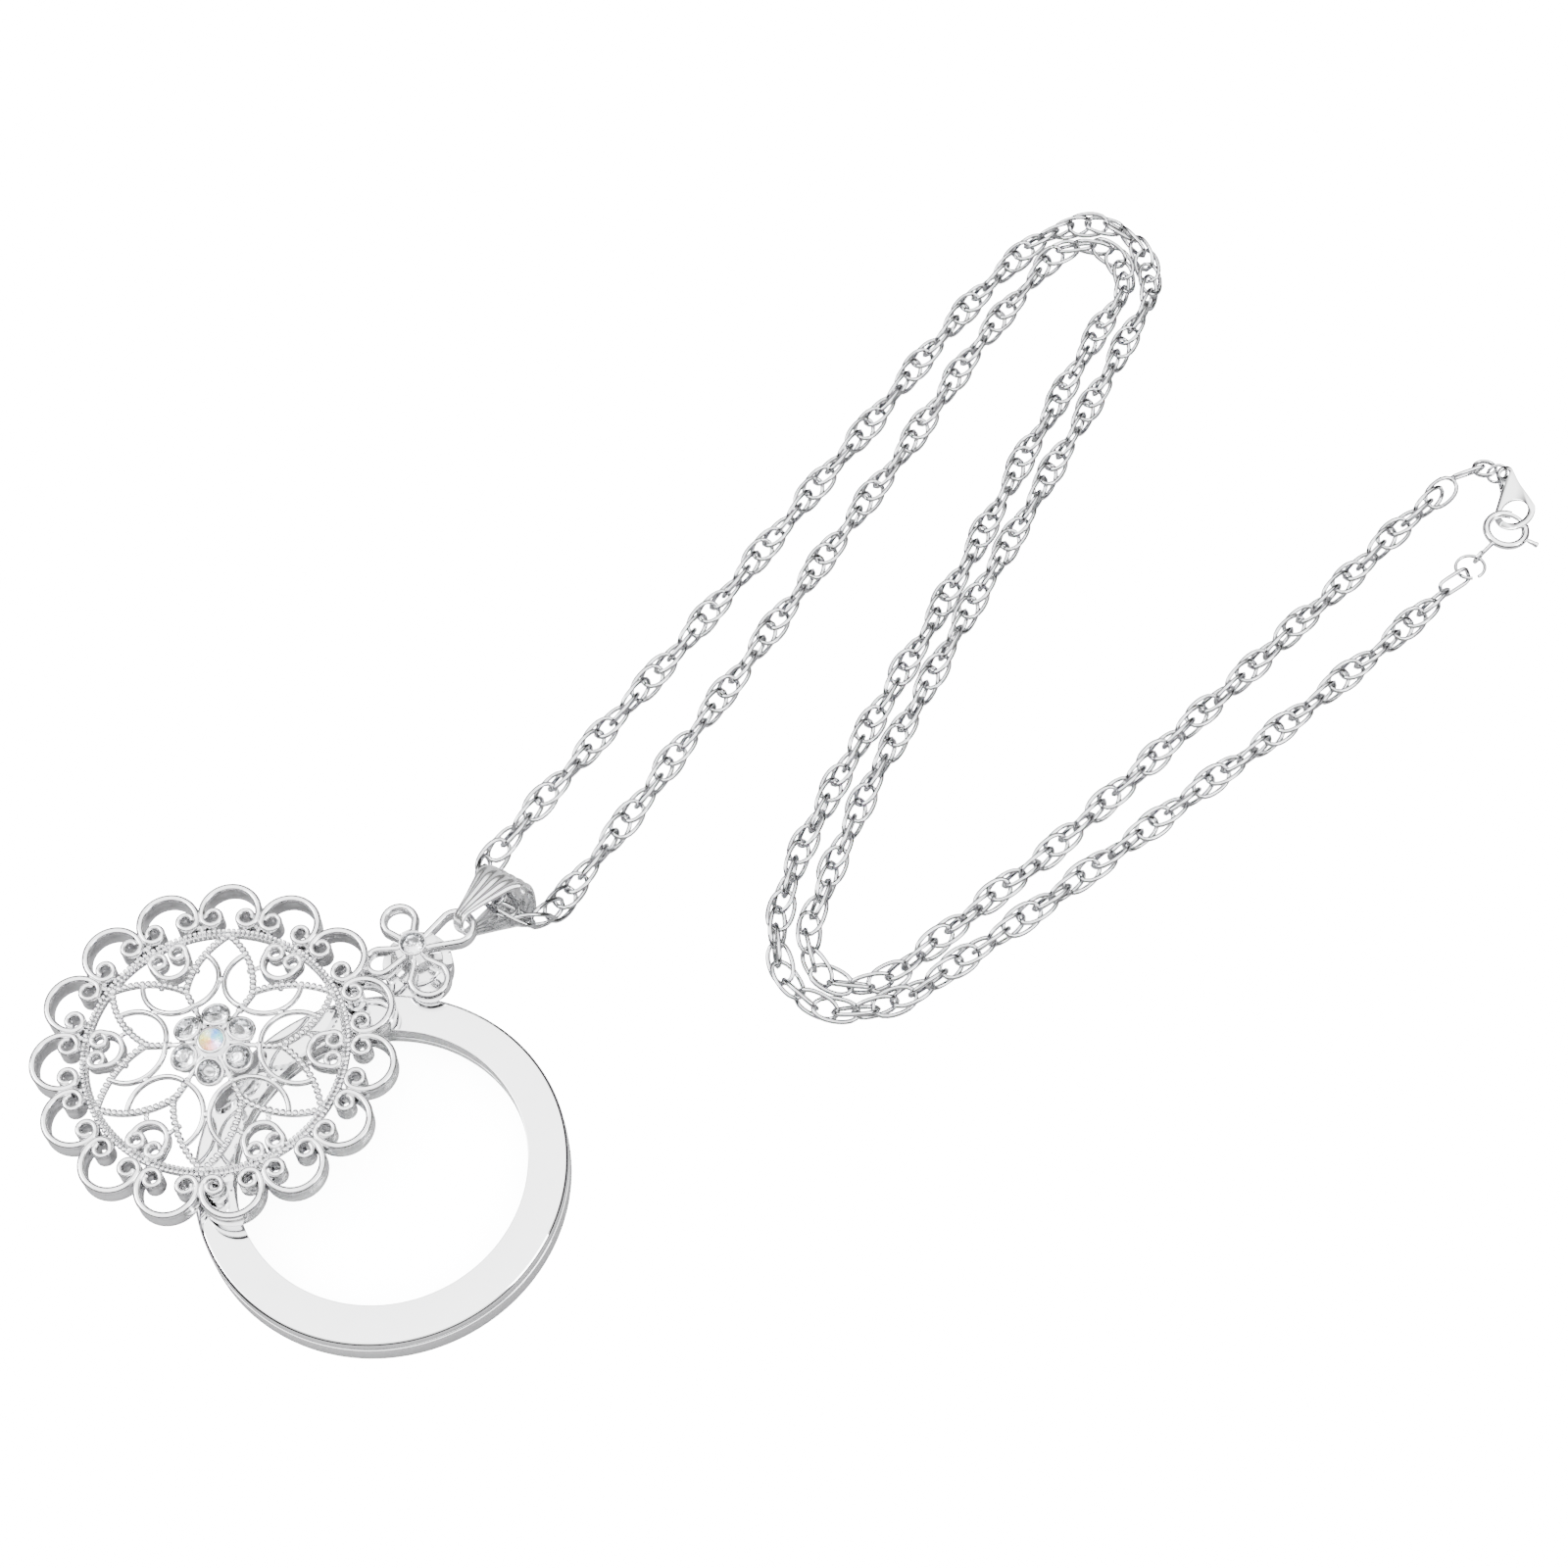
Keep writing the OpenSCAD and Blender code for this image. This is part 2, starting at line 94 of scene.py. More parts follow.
def tube(path, radius, sides=10, closed=False):
    """A round wire: point = path + radius * (cos a * side + sin a * top). The side of each point is
    the last one's, less its share along the direction of travel, so the wire never twists."""
    path = np.asarray(path, float)
    if closed:
        travel = unit(np.roll(path, -1, 0) - np.roll(path, 1, 0))
    else:
        travel = unit(np.gradient(path, axis=0))
    steep = 0.8
    away = np.array([0, 0, 1.0]) if abs(travel[0, 2]) < steep else np.array([1.0, 0, 0])
    side = unit(np.cross(away, travel[0]))
    sides_of = [side]
    for t in travel[1:]:
        side = unit(side - t * (side @ t))
        sides_of.append(side)
    sides_of = np.array(sides_of)
    top = np.cross(travel, sides_of)
    a = 2 * np.pi * np.arange(sides) / sides
    ring = np.cos(a)[None, :, None] * sides_of[:, None] + np.sin(a)[None, :, None] * top[:, None]
    points = path[:, None] + radius * ring
    faces = grid_faces(len(path), sides, closed, True).tolist()
    return points.reshape(-1, 3), faces if closed else faces + end_faces(len(path), sides)


def lathe(profile, steps):
    """A profile of radius and height carried round Z: x = r cos a, y = r sin a, z = height."""
    profile = np.asarray(profile, float)
    a = 2 * np.pi * np.arange(steps) / steps
    r, z = profile[None, :, 0], profile[None, :, 1]
    points = np.stack([r * np.cos(a)[:, None], r * np.sin(a)[:, None], z + 0 * a[:, None]], -1)
    faces = grid_faces(steps, len(profile), True, True)[:, ::-1]
    return points.reshape(-1, 3), faces.tolist()


def turned(points, degrees, axis=2):
    """Points turned about one of the axes through the origin."""
    a = math.radians(degrees)
    i, j = [(1, 2), (2, 0), (0, 1)][axis]
    out = np.array(points, float)
    out[..., i] = points[..., i] * math.cos(a) - points[..., j] * math.sin(a)
    out[..., j] = points[..., i] * math.sin(a) + points[..., j] * math.cos(a)
    return out


def join(shells):
    """Several shells as one: the faces of each are counted on from the points before it."""
    points, faces, start = [], [], 0
    for p, f in shells:
        points.append(p)
        faces += [[i + start for i in face] for face in f]
        start += len(p)
    return np.vstack(points), faces


same_point = 1e-7


def piece(name, shell, material, body, replaces, sharp):
    """Puts a shell in millimetres into a mesh in metres, smooth but for edges over the angle
    sharp. An angle of 0 leaves every face flat."""
    points, faces = shell
    mesh = bpy.data.meshes.new(name)
    mesh.from_pydata((points * MM).tolist(), [], faces)
    work = bmesh.new()
    work.from_mesh(mesh)
    bmesh.ops.remove_doubles(work, verts=work.verts, dist=same_point)
    work.to_mesh(mesh)
    work.free()
    mesh.polygons.foreach_set("use_smooth", [sharp > 0] * len(mesh.polygons))
    if sharp > 0:
        mesh.set_sharp_from_angle(angle=math.radians(sharp))
    obj = bpy.data.objects.new(name, mesh)
    bpy.context.scene.collection.objects.link(obj)
    mesh.materials.append(material)
    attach(obj, body)
    if replaces:
        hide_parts(*replaces)
    triangles = sum(len(p.vertices) - 2 for p in mesh.polygons)
    print(f"{name}: {len(mesh.vertices)} points, {triangles} triangles")
    return obj


# %% [markdown]
# ## Curves that wire follows
# Cast wire runs in arcs and curls. A curl is an arc whose radius shrinks as it turns. Short
# lists of points are made smooth by a curve that passes through each of them.

# %% Arcs, curls and smooth curves
def arc(centre, radius, start, end, steps):
    """Points at centre + radius * (cos a, sin a), with a from start to end in degrees."""
    a = np.radians(np.linspace(start, end, steps))
    r = np.broadcast_to(radius, a.shape)
    return np.stack([centre[0] + r * np.cos(a), centre[1] + r * np.sin(a)], -1)


def at_angle(reach, degrees, z=0.0):
    """One point in space: (reach cos a, reach sin a, z)."""
    a = math.radians(degrees)
    return np.array([reach * math.cos(a), reach * math.sin(a), z])


def smooth(points, steps=8, closed=False):
    """Catmull-Rom: between two points the curve is the cubic that leaves each of them in the
    direction from the point before it to the point after it."""
    p = np.asarray(points, float)
    p = np.vstack([p[-1:], p, p[:2]]) if closed else np.vstack([2 * p[:1] - p[1:2], p, 2 * p[-1:] - p[-2:-1]])
    t = np.linspace(0, 1, steps, endpoint=False)[:, None]
    runs = []
    for i in range(1, len(p) - 2):
        a, b, c, d = p[i - 1:i + 3]
        runs.append(0.5 * (2 * b + (c - a) * t + (2 * a - 5 * b + 4 * c - d) * t ** 2
                           + (3 * b - a - 3 * c + d) * t ** 3))
    return np.vstack(runs if closed else runs + [p[-2:-1]])


def even(path, gap):
    """The same path with its points an even gap apart, and how far along each one is."""
    path = np.asarray(path, float)
    along = np.concatenate([[0], np.cumsum(np.linalg.norm(np.diff(path, axis=0), axis=1))])
    count = max(2, int(round(along[-1] / gap)) + 1)
    at = np.linspace(0, along[-1], count)
    return np.stack([np.interp(at, along, path[:, i]) for i in range(path.shape[1])], -1), at


def raised(path, z):
    """A flat path lifted to height z, which may change along it."""
    return np.column_stack([path, np.broadcast_to(z, len(path))])


def rounded(width, bottom, top, radius, steps=3):
    """A section of that width from bottom to top, its upper corners quarter circles."""
    x, y = width / 2 - radius, top - radius
    right = arc((x, y), radius, 0, 90, steps + 1)
    left = arc((-x, y), radius, 90, 180, steps + 1)
    return np.vstack([[[-width / 2, bottom], [width / 2, bottom]], right, left])


def round_section(radius, sides):
    """A circle of points, for a wire's section."""
    return arc((0, 0), radius, 0, 360 - 360 / sides, sides)


print("a curl:", len(even(arc((0, 0), np.linspace(1, 0.4, 40), 0, 400, 40), 0.1)[0]), "points")

# %% [markdown]
# ## The camera
# The photograph looks down at about sixty degrees from a little over a third of a metre, so the
# far end of the chain is slightly smaller than the near end. The lens is 63 mm on a 36 mm sensor.

# %% Camera
lens_length, sensor_width, nearest = 63.0, 36.0, 0.01
camera_at, look_down = (0.0449, -0.1474, 0.3056), 60.33
camera_data = bpy.data.cameras.new("camera")
camera_data.lens = lens_length
camera_data.sensor_width = sensor_width
camera_data.clip_start = nearest
camera = bpy.data.objects.new("camera", camera_data)
camera.location = camera_at
camera.rotation_euler = (math.radians(90 - look_down), 0, 0)
bpy.context.scene.collection.objects.link(camera)
bpy.context.scene.camera = camera
print("camera at", tuple(round(v, 4) for v in camera.location))

# %% [markdown]
# ## Plating
# Plated metal is a mirror with a little life: faint cloudy changes of gloss, a soft orange-peel
# of the casting under the plate, and darker tarnish in places. One group makes all three, and
# each metal sets its own amounts.

# %% The plating group
def socket(group, name, kind, way, value=None):
    """One named input or output of a group."""
    made = group.interface.new_socket(name=name, in_out=way, socket_type=kind)
    if value is not None:
        made.default_value = value
    return made


def node(tree, kind, **values):
    """A node with its properties and, by name or number, its inputs."""
    made = tree.nodes.new(kind)
    for key, value in values.pop("inputs", {}).items():
        made.inputs[key].default_value = value
    for key, value in values.items():
        setattr(made, key, value)
    return made


plating = bpy.data.node_groups.new("plating", "ShaderNodeTree")
socket(plating, "Vector", "NodeSocketVector", "INPUT")
socket(plating, "Metal", "NodeSocketColor", "INPUT", (0.9, 0.9, 0.9, 1))
socket(plating, "Shade", "NodeSocketColor", "INPUT", (0.6, 0.6, 0.6, 1))
socket(plating, "Gloss", "NodeSocketFloat", "INPUT", 0.06)
socket(plating, "Cloud", "NodeSocketFloat", "INPUT", 0.05)
socket(plating, "Tarnish", "NodeSocketFloat", "INPUT", 0.1)
socket(plating, "Color", "NodeSocketColor", "OUTPUT")
socket(plating, "Roughness", "NodeSocketFloat", "OUTPUT")
socket(plating, "Height", "NodeSocketFloat", "OUTPUT")
source = node(plating, "NodeGroupInput")
result = node(plating, "NodeGroupOutput")
cloud = node(plating, "ShaderNodeTexNoise", inputs={"Scale": 420.0, "Detail": 3.0, "Roughness": 0.55})
grain = node(plating, "ShaderNodeTexNoise", inputs={"Scale": 2600.0, "Detail": 2.0, "Roughness": 0.5})
gloss = node(plating, "ShaderNodeMath", operation="MULTIPLY_ADD")
dull = node(plating, "ShaderNodeMapRange", inputs={"From Min": 0.5, "From Max": 0.8})
amount = node(plating, "ShaderNodeMath", operation="MULTIPLY")
tint = node(plating, "ShaderNodeMix", data_type="RGBA")
link = plating.links.new
link(source.outputs["Vector"], cloud.inputs["Vector"])
link(source.outputs["Vector"], grain.inputs["Vector"])
link(cloud.outputs["Fac"], gloss.inputs[0])
link(source.outputs["Cloud"], gloss.inputs[1])
link(source.outputs["Gloss"], gloss.inputs[2])
link(cloud.outputs["Fac"], dull.inputs["Value"])
link(dull.outputs["Result"], amount.inputs[0])
link(source.outputs["Tarnish"], amount.inputs[1])
link(amount.outputs[0], tint.inputs[0])
link(source.outputs["Metal"], tint.inputs[6])
link(source.outputs["Shade"], tint.inputs[7])
link(tint.outputs[2], result.inputs["Color"])
link(gloss.outputs[0], result.inputs["Roughness"])
link(grain.outputs["Fac"], result.inputs["Height"])
print("plating group:", len(plating.nodes), "nodes")


# %% Silver finishes
tarnish_tone = (0.55, 0.55, 0.57)


def silver(name, metal, gloss, cloud, tarnish, bump):
    """A plated metal: the group's colour and roughness, and a faint bump from its grain. The bump's
    depth is in millimetres."""
    made = bpy.data.materials.new(name)
    made.use_nodes = True
    tree = made.node_tree
    shader = tree.nodes["Principled BSDF"]
    shader.inputs["Metallic"].default_value = 1.0
    place = node(tree, "ShaderNodeTexCoord")
    skin = node(tree, "ShaderNodeGroup")
    skin.node_tree = plating
    shade = [tone * part for tone, part in zip(tarnish_tone, metal)] + [1]
    amounts = {"Metal": (*metal, 1), "Shade": shade, "Gloss": gloss, "Cloud": cloud, "Tarnish": tarnish}
    for key, value in amounts.items():
        skin.inputs[key].default_value = value
    relief = node(tree, "ShaderNodeBump", inputs={"Strength": 1.0, "Distance": bump * MM})
    tree.links.new(place.outputs["Object"], skin.inputs["Vector"])
    tree.links.new(skin.outputs["Color"], shader.inputs["Base Color"])
    tree.links.new(skin.outputs["Roughness"], shader.inputs["Roughness"])
    tree.links.new(skin.outputs["Height"], relief.inputs["Height"])
    tree.links.new(relief.outputs["Normal"], shader.inputs["Normal"])
    return made


# Each finish: its name, the metal's colour, gloss, cloud, tarnish and bump.
# Painted shade: the chain and its small rings get a much darker silver than the frame, which stands in for
# the shade among the links.
shaded_chain_silver = silver("shaded_chain_silver", (0.56, 0.565, 0.575), 0.05, 0.08, 0.25, 0.002)
cast_silver = silver("cast_silver", (0.80, 0.80, 0.81), 0.08, 0.12, 0.35, 0.012)
frame_silver = silver("frame_silver", (0.95, 0.955, 0.96), 0.02, 0.03, 0.08, 0.0004)
bail_silver = silver("bail_silver", (0.88, 0.885, 0.89), 0.16, 0.1, 0.2, 0.004)
foil = silver("foil", (0.95, 0.95, 0.96), 0.03, 0.05, 0.1, 0.0005)
finishes = [shaded_chain_silver, cast_silver, frame_silver, bail_silver, foil]
print("finishes:", [finish.name for finish in finishes])


# %% [markdown]
# ## Glass and crystal
# The lens is clear glass. A stone is glass too, but its back is foiled, so light that enters
# comes back out of another facet. The middle stone has a thin rainbow coating as well, whose
# colour changes as the stone is turned. Here the hue follows the angle round its middle instead,
# so facets that lie side by side differ a little, and the shader needs no film.

# %% Clear glass
rainbow_middle = (-22.52, -13.69, 0)  # the medallion's middle, in millimetres
crystal_tint, crystal_ior = (0.97, 0.98, 1.0), 1.6
haze_depth = 0.015


def clear_glass(name, tint, ior):
    """Glass with a very faint haze, whose roughness goes from 0 to haze_depth with a noise. It lets
    shadow rays through, so that what lies under it stays lit."""
    made = bpy.data.materials.new(name)
    made.use_nodes = True
    tree = made.node_tree
    shader = tree.nodes["Principled BSDF"]
    shader.inputs["Base Color"].default_value = (*tint, 1)
    shader.inputs["Roughness"].default_value = 0.0
    shader.inputs["IOR"].default_value = ior
    shader.inputs["Transmission Weight"].default_value = 1.0
    place = node(tree, "ShaderNodeTexCoord")
    haze = node(tree, "ShaderNodeTexNoise", inputs={"Scale": 90.0, "Detail": 4.0})
    range_of_haze = {"From Min": 0.45, "From Max": 0.75, "To Min": 0.0, "To Max": haze_depth}
    film = node(tree, "ShaderNodeMapRange", inputs=range_of_haze)
    ray = node(tree, "ShaderNodeLightPath")
    through = node(tree, "ShaderNodeBsdfTransparent")
    mix = node(tree, "ShaderNodeMixShader")
    tree.links.new(place.outputs["Object"], haze.inputs["Vector"])
    tree.links.new(haze.outputs["Fac"], film.inputs["Value"])
    tree.links.new(film.outputs["Result"], shader.inputs["Roughness"])
    tree.links.new(ray.outputs["Is Shadow Ray"], mix.inputs[0])
    tree.links.new(shader.outputs["BSDF"], mix.inputs[1])
    tree.links.new(through.outputs[0], mix.inputs[2])
    tree.links.new(mix.outputs[0], tree.nodes["Material Output"].inputs["Surface"])
    return made


lens_glass = clear_glass("lens_glass", (0.99, 1.0, 1.0), 1.5)
crystal = clear_glass("crystal", crystal_tint, crystal_ior)
# Painted glow: the stones give off a faint near-white light of their own, which lightens every facet.
for name, value in {"Emission Color": (0.95, 0.97, 1, 1), "Emission Strength": 0.03}.items():
    crystal.node_tree.nodes["Principled BSDF"].inputs[name].default_value = value
print("glass:", lens_glass.name, crystal.name)


# %% Rainbow crystal
def colour_ramp(tree, stops):
    """A colour ramp with these stops, each a place from 0 to 1 and a colour."""
    ramp = node(tree, "ShaderNodeValToRGB")
    while len(ramp.color_ramp.elements) < len(stops):
        ramp.color_ramp.elements.new(0.5)
    for element, (at, colour) in zip(ramp.color_ramp.elements, stops):
        element.position, element.color = at, (*colour, 1)
    return ramp


def coated(name, middle):
    """Crystal with a rainbow film: the hue follows the angle round the stone's own middle, and the same hue
    is given off as a painted glow.
    """
    made = clear_glass(name, (1, 1, 1), crystal_ior)
    tree = made.node_tree
    shader = tree.nodes["Principled BSDF"]
    place = tree.nodes["Texture Coordinate"]
    shift = node(tree, "ShaderNodeMapping", inputs={"Location": [-v * MM for v in middle]})
    hue_round = node(tree, "ShaderNodeTexGradient", gradient_type="RADIAL")
    ramp = colour_ramp(tree, [
        (0.0, (1.0, 0.82, 0.25)), (0.14, (1.0, 0.6, 0.2)), (0.26, (1.0, 0.25, 0.2)),
        (0.40, (0.6, 0.45, 1.0)), (0.54, (0.2, 0.85, 0.95)), (0.68, (0.15, 0.4, 1.0)),
        (0.82, (0.7, 0.95, 0.75)), (1.0, (1.0, 0.82, 0.25))])
    tree.links.new(place.outputs["Object"], shift.inputs["Vector"])
    tree.links.new(shift.outputs["Vector"], hue_round.inputs["Vector"])
    tree.links.new(hue_round.outputs["Fac"], ramp.inputs["Fac"])
    tree.links.new(ramp.outputs["Color"], shader.inputs["Base Color"])
    # Painted glow: the rainbow colour is also given off as a faint light of the stone's own.
    tree.links.new(ramp.outputs["Color"], shader.inputs["Emission Color"])
    shader.inputs["Emission Strength"].default_value = 0.10
    shader.inputs["Transmission Weight"].default_value = 0.9
    return made


rainbow = coated("rainbow_crystal", rainbow_middle)
print("coated:", rainbow.name)

# %% [markdown]
# ## Where the medallion lies
# The medallion is drawn about its own middle, with the first star point on +X, and then turned
# and moved to its place. All heights are from the table.

# %% Sizes of the medallion
rim_z, wall_h = 8.2, 2.9  # the top of the wall, and how tall it is
rim_bottom, ring_z = rim_z - wall_h, rim_z - 1.3
scallops, points_of_star, outer_cups = 15, 6, 6
scallop_at, scallop_mid = 17.95, 3.465  # where a scallop's arc is centred, and its radius
star_angle, star_slope, bead_in = 30.0, 10.0, 15.0  # its turn, its slope, where the slope ends
medal_reach, medal_angle = 26.35, 211.3  # from the rivet to the medallion's middle
medal_middle = at_angle(medal_reach, medal_angle)


def medal_place(shell):
    """Turns a shell by the star's angle and moves it to the medallion's middle."""
    return turned(shell[0], star_angle) + medal_middle, shell[1]


def around(shell, count, first=0.0):
    """Copies of a shell, evenly spaced round Z."""
    return [(turned(shell[0], first + 360 * k / count), shell[1]) for k in range(count)]


def mirrored(shell):
    """A shell mirrored in the plane y = 0, with its faces turned back outwards."""
    return shell[0] * [1, -1, 1], [face[::-1] for face in shell[1]]


print("medallion middle:", medal_middle.round(2))

# %% [markdown]
# ## The scalloped wall
# Each scallop is a C of tall wire whose ends curl inwards to two eyes. Half of the path is drawn:
# the outer arc from its top, then a curl of shrinking radius about the eye. Mirrored and joined,
# it makes one smooth C. The section has a rounded roll on top and a thinner wall under it. A stub
# between two scallops and a post behind each curl tie the wall to the beaded ring.

# %% Paths and sections of curled wire
def curled(centre, radius, leave, eye, eye_start, eye_end, shrink, toward=1):
    """Half a C: an arc about centre up to the angle leave, then a curl about eye from eye_start to
    eye_end, whose radius goes down the list shrink. Angles are in degrees. The arc starts at
    angle 0, or at 180 where toward is -1."""
    curl_steps = 26
    out = arc(centre, radius, 0 if toward > 0 else 180, leave, 16)
    radii = np.interp(np.linspace(0, 1, curl_steps), np.linspace(0, 1, len(shrink)), shrink)
    curl = arc(eye, radii, eye_start, eye_end, curl_steps)
    return even(smooth(np.vstack([out[:-1], curl[1:]]), 4), 0.16)[0]


def whole_c(half):
    """A half path, from its top outwards, joined to its mirror image."""
    return np.vstack([(half * [1, -1])[::-1], half[1:]])


def both_sides(right):
    """A closed section from its right side, listed upwards: the left side is its mirror image."""
    right = np.array(right)
    return np.roll(np.vstack([right, right[::-1] * [-1, 1]]), 1, axis=0)


def thinned(path, at, widths):
    """Widths along a path that is mirrored in its middle. The places at are distances from the
    middle, from 0 to 1, and between them the width changes evenly."""
    return np.interp(np.abs(np.linspace(-1, 1, len(path))), at, widths)


scallop_section = both_sides([
    [0.32, rim_bottom], [0.38, rim_bottom + 0.12], [0.38, rim_z - 1.35], [0.24, rim_z - 1.12],
    [0.24, rim_z - 0.98], [0.375, rim_z - 0.76], [0.415, rim_z - 0.42], [0.36, rim_z - 0.2],
    [0.24, rim_z - 0.06], [0.08, rim_z]])
print("scallop section:", len(scallop_section), "points")

# %% Scallops
widen = [1.1, 1]
scallop_path = whole_c(curled(
    (scallop_at, 0), scallop_mid, leave=100, eye=(17.35, 2.02), eye_start=92, eye_end=470,
    shrink=[1.37, 1.18, 1.03, 0.95, 0.88, 0.82, 0.76]))
scallop_grow = thinned(scallop_path, [0.3, 0.62, 1], [1.0, 0.85, 0.7])
scallop = sweep(raised(scallop_path, 0), scallop_section * widen, grow=scallop_grow)
stub_path = np.array([[15.8, 0, rim_z - 1.5], [16.4, 0, rim_z - 1.4], [16.9, 0, rim_z - 1.3]])
stub = sweep(stub_path, rounded(0.62, -1.2, 0.1, 0.2, 2))
post_path, post_angle = np.array([[15.85, 0, rim_z - 1.3], [16.5, 0, rim_z - 1.0]]), 6.7
post_of_curl = sweep(post_path, rounded(0.7, -1.2, 0.1, 0.25, 2))
posts = [(turned(post_of_curl[0], side * post_angle), post_of_curl[1]) for side in (-1, 1)]
wall_unit = join([scallop] + posts)
scallop_wall = join(around(wall_unit, scallops, 180 / scallops) + around(stub, scallops))
print("scallop path:", len(scallop_path), "points, wall:", len(scallop_wall[0]))

# %% [markdown]
# ## Bead rows
# Small beads run along the ring, the star's edges, its stems and the joints. A bead is a short
# barrel with a rounded end at each side. It has a few dozen faces, because there are hundreds.

# %% Beads along a path
def beads(path, gap, length, width, height, sink=0.0, sides=8):
    """Barrels along a path in space. A barrel is five rings, whose radii are given as shares of
    its half width and half height, and its long axis points along the path."""
    points, _ = even(path, gap)
    travel = unit(np.gradient(points, axis=0))
    side = unit(np.cross([0, 0, 1], travel))
    top = np.cross(travel, side)
    ring_places, ring_radii = np.array([-1, -0.72, 0, 0.72, 1.0]), np.array([0.5, 0.9, 1.0, 0.9, 0.5])
    a = 2 * np.pi * np.arange(sides) / sides
    y = ring_radii[:, None] * np.cos(a) * width / 2
    z = ring_radii[:, None] * np.sin(a) * height / 2 - sink
    x = np.broadcast_to(ring_places[:, None] * length / 2, y.shape)
    x, y, z = (part.reshape(1, -1, 1) for part in (x, y, z))
    bodies = points[:, None] + x * travel[:, None] + y * side[:, None] + z * top[:, None]
    faces = grid_faces(5, sides, False, True).tolist() + end_faces(5, sides)
    return join([(body, faces) for body in bodies])


def star_height(x):
    """The star slopes up towards the middle: its height over the table at distance x."""
    return ring_z + 0.35 + (bead_in - x) * math.tan(math.radians(star_slope))


ring_beads, ring_shells = 168, []
for radius, width in [(15.76, 0.64), (15.18, 0.56)]:
    turn = 2 * np.pi * np.arange(ring_beads) / ring_beads
    circle = np.stack([radius * np.cos(turn), radius * np.sin(turn), 0 * turn + ring_z + 0.28], -1)
    ring_shells.append(beads(circle, 2 * np.pi * radius / ring_beads, 0.47, width, 0.66))
band_profile = [
    [15.05, ring_z - 0.5], [15.9, ring_z - 0.5], [15.9, ring_z - 0.08], [15.05, ring_z - 0.08]]
bead_ring = join(ring_shells + [lathe(band_profile, 180)])
print("bead ring:", len(bead_ring[0]), "points")

# %% [markdown]
# ## The star
# Six points, each with two beaded edges that are arcs from the valley to the tip, and two plain
# arcs inside that touch back to back. A beaded stem joins each valley to the middle.

# %% Star edges, inner arcs and stems
edge_arc = arc((6.9, -6.74), 10.69, 90, 39.5, 40)
edge = np.column_stack([edge_arc, star_height(edge_arc[:, 0])])
knot_at = 8.7
inner_arc = arc((knot_at, 4.6), 4.25, -153, -30, 36)
inner = np.column_stack([inner_arc, star_height(inner_arc[:, 0]) - 0.05])
wire_section = round_section(0.34, 12) * [1.0, 1.3] + [0, -0.1]
edge_section = rounded(0.56, -0.62, -0.1, 0.14, 2)
edge_beads = beads(edge, 0.74, 0.62, 0.94, 0.72, -0.04)
half_star = [sweep(edge, edge_section), edge_beads, sweep(inner, wire_section)]
knot = lathe([[0, -0.5], [0.4, -0.42], [0.52, -0.15], [0.46, 0.12], [0.25, 0.27], [0, 0.3]], 14)
knot = (knot[0] + [knot_at, 0, float(star_height(knot_at))], knot[1])
star_point = join([s for part in half_star for s in (part, mirrored(part))] + [knot])
stem_path = np.column_stack([np.linspace(5.2, 8.0, 8), np.zeros(8), np.linspace(8.55, 8.35, 8)])
stem_section = rounded(0.56, -0.62, -0.1, 0.12, 2)
stem = join([beads(stem_path, 0.7, 0.6, 0.9, 0.72), sweep(stem_path, stem_section)])
stems = around(stem, points_of_star, 180 / points_of_star)
star_shell = join(around(star_point, points_of_star) + stems)
print("star:", len(star_shell[0]), "points")

# %% [markdown]
# ## Kidney scrolls
# Between the star's points sits a scroll like a kidney: its round back faces the middle and its
# two eyes touch the beaded ring. It is the scallop's path again with other numbers.

# %% Kidneys
kidney_top = rim_z - 0.6
kidney_path = whole_c(curled(
    (13.2, 0), 2.12, leave=86, eye=(13.9, 1.28), eye_start=122, eye_end=-250,
    shrink=[0.98, 1.0, 0.98, 0.86, 0.74, 0.66], toward=-1))
kidney_section = both_sides([
    [0.3, rim_bottom + 0.4], [0.37, rim_bottom + 0.6], [0.37, kidney_top - 0.95],
    [0.25, kidney_top - 0.8], [0.37, kidney_top - 0.6], [0.38, kidney_top - 0.3],
    [0.27, kidney_top - 0.09], [0.1, kidney_top]])
kidney_grow = thinned(kidney_path, [0.5, 1], [1.0, 0.75])
kidney = sweep(raised(kidney_path, 0), kidney_section, grow=kidney_grow)
joint_paths = [np.array([[10.2, 2.35 * s, 7.75], [11.25, 1.75 * s, 7.45]]) for s in (-1, 1)]
foot_paths = [np.array([[14.75, 1.2 * s, 7.35], [15.4, 1.2 * s, 7.2]]) for s in (-1, 1)]
joints_of_kidney = [beads(even(p, 0.3)[0], 0.48, 0.44, 0.7, 0.6) for p in joint_paths + foot_paths]
kidneys = join(around(join([kidney] + joints_of_kidney), points_of_star, 180 / points_of_star))
print("kidneys:", len(kidneys[0]), "points")

# %% [markdown]
# ## Stone cups
# Each stone sits in a turned cup with a thin lip. The six outer cups lean outwards, and the
# middle one stands higher. Between them little struts of the casting show.

# %% Cups
stone_at, stone_r, stone_lean = 3.73, 1.42, 16.0
cup_z, middle_cup_z, stone_drop = rim_z + 1.15, rim_z + 2.05, 0.05


def cluster_place(points, k):
    """Moves points from a stone's own place to cup k: leant outwards, out from the middle, turned."""
    return turned(turned(points, stone_lean, 1) + [stone_at, 0, cup_z], 360 / outer_cups * k)


def cup_profile(outer, inner, depth):
    """A cup's outline: foot, waist, rolled lip, bore and floor."""
    return [[outer - 0.45, -depth], [outer - 0.12, -depth + 0.25], [outer - 0.06, -0.42],
            [outer, -0.25], [outer - 0.02, -0.1], [outer - 0.12, 0.0], [inner + 0.04, 0.02],
            [inner, -0.05], [inner, -0.75], [inner - 0.35, -0.85], [0, -0.9], [0, -depth]]


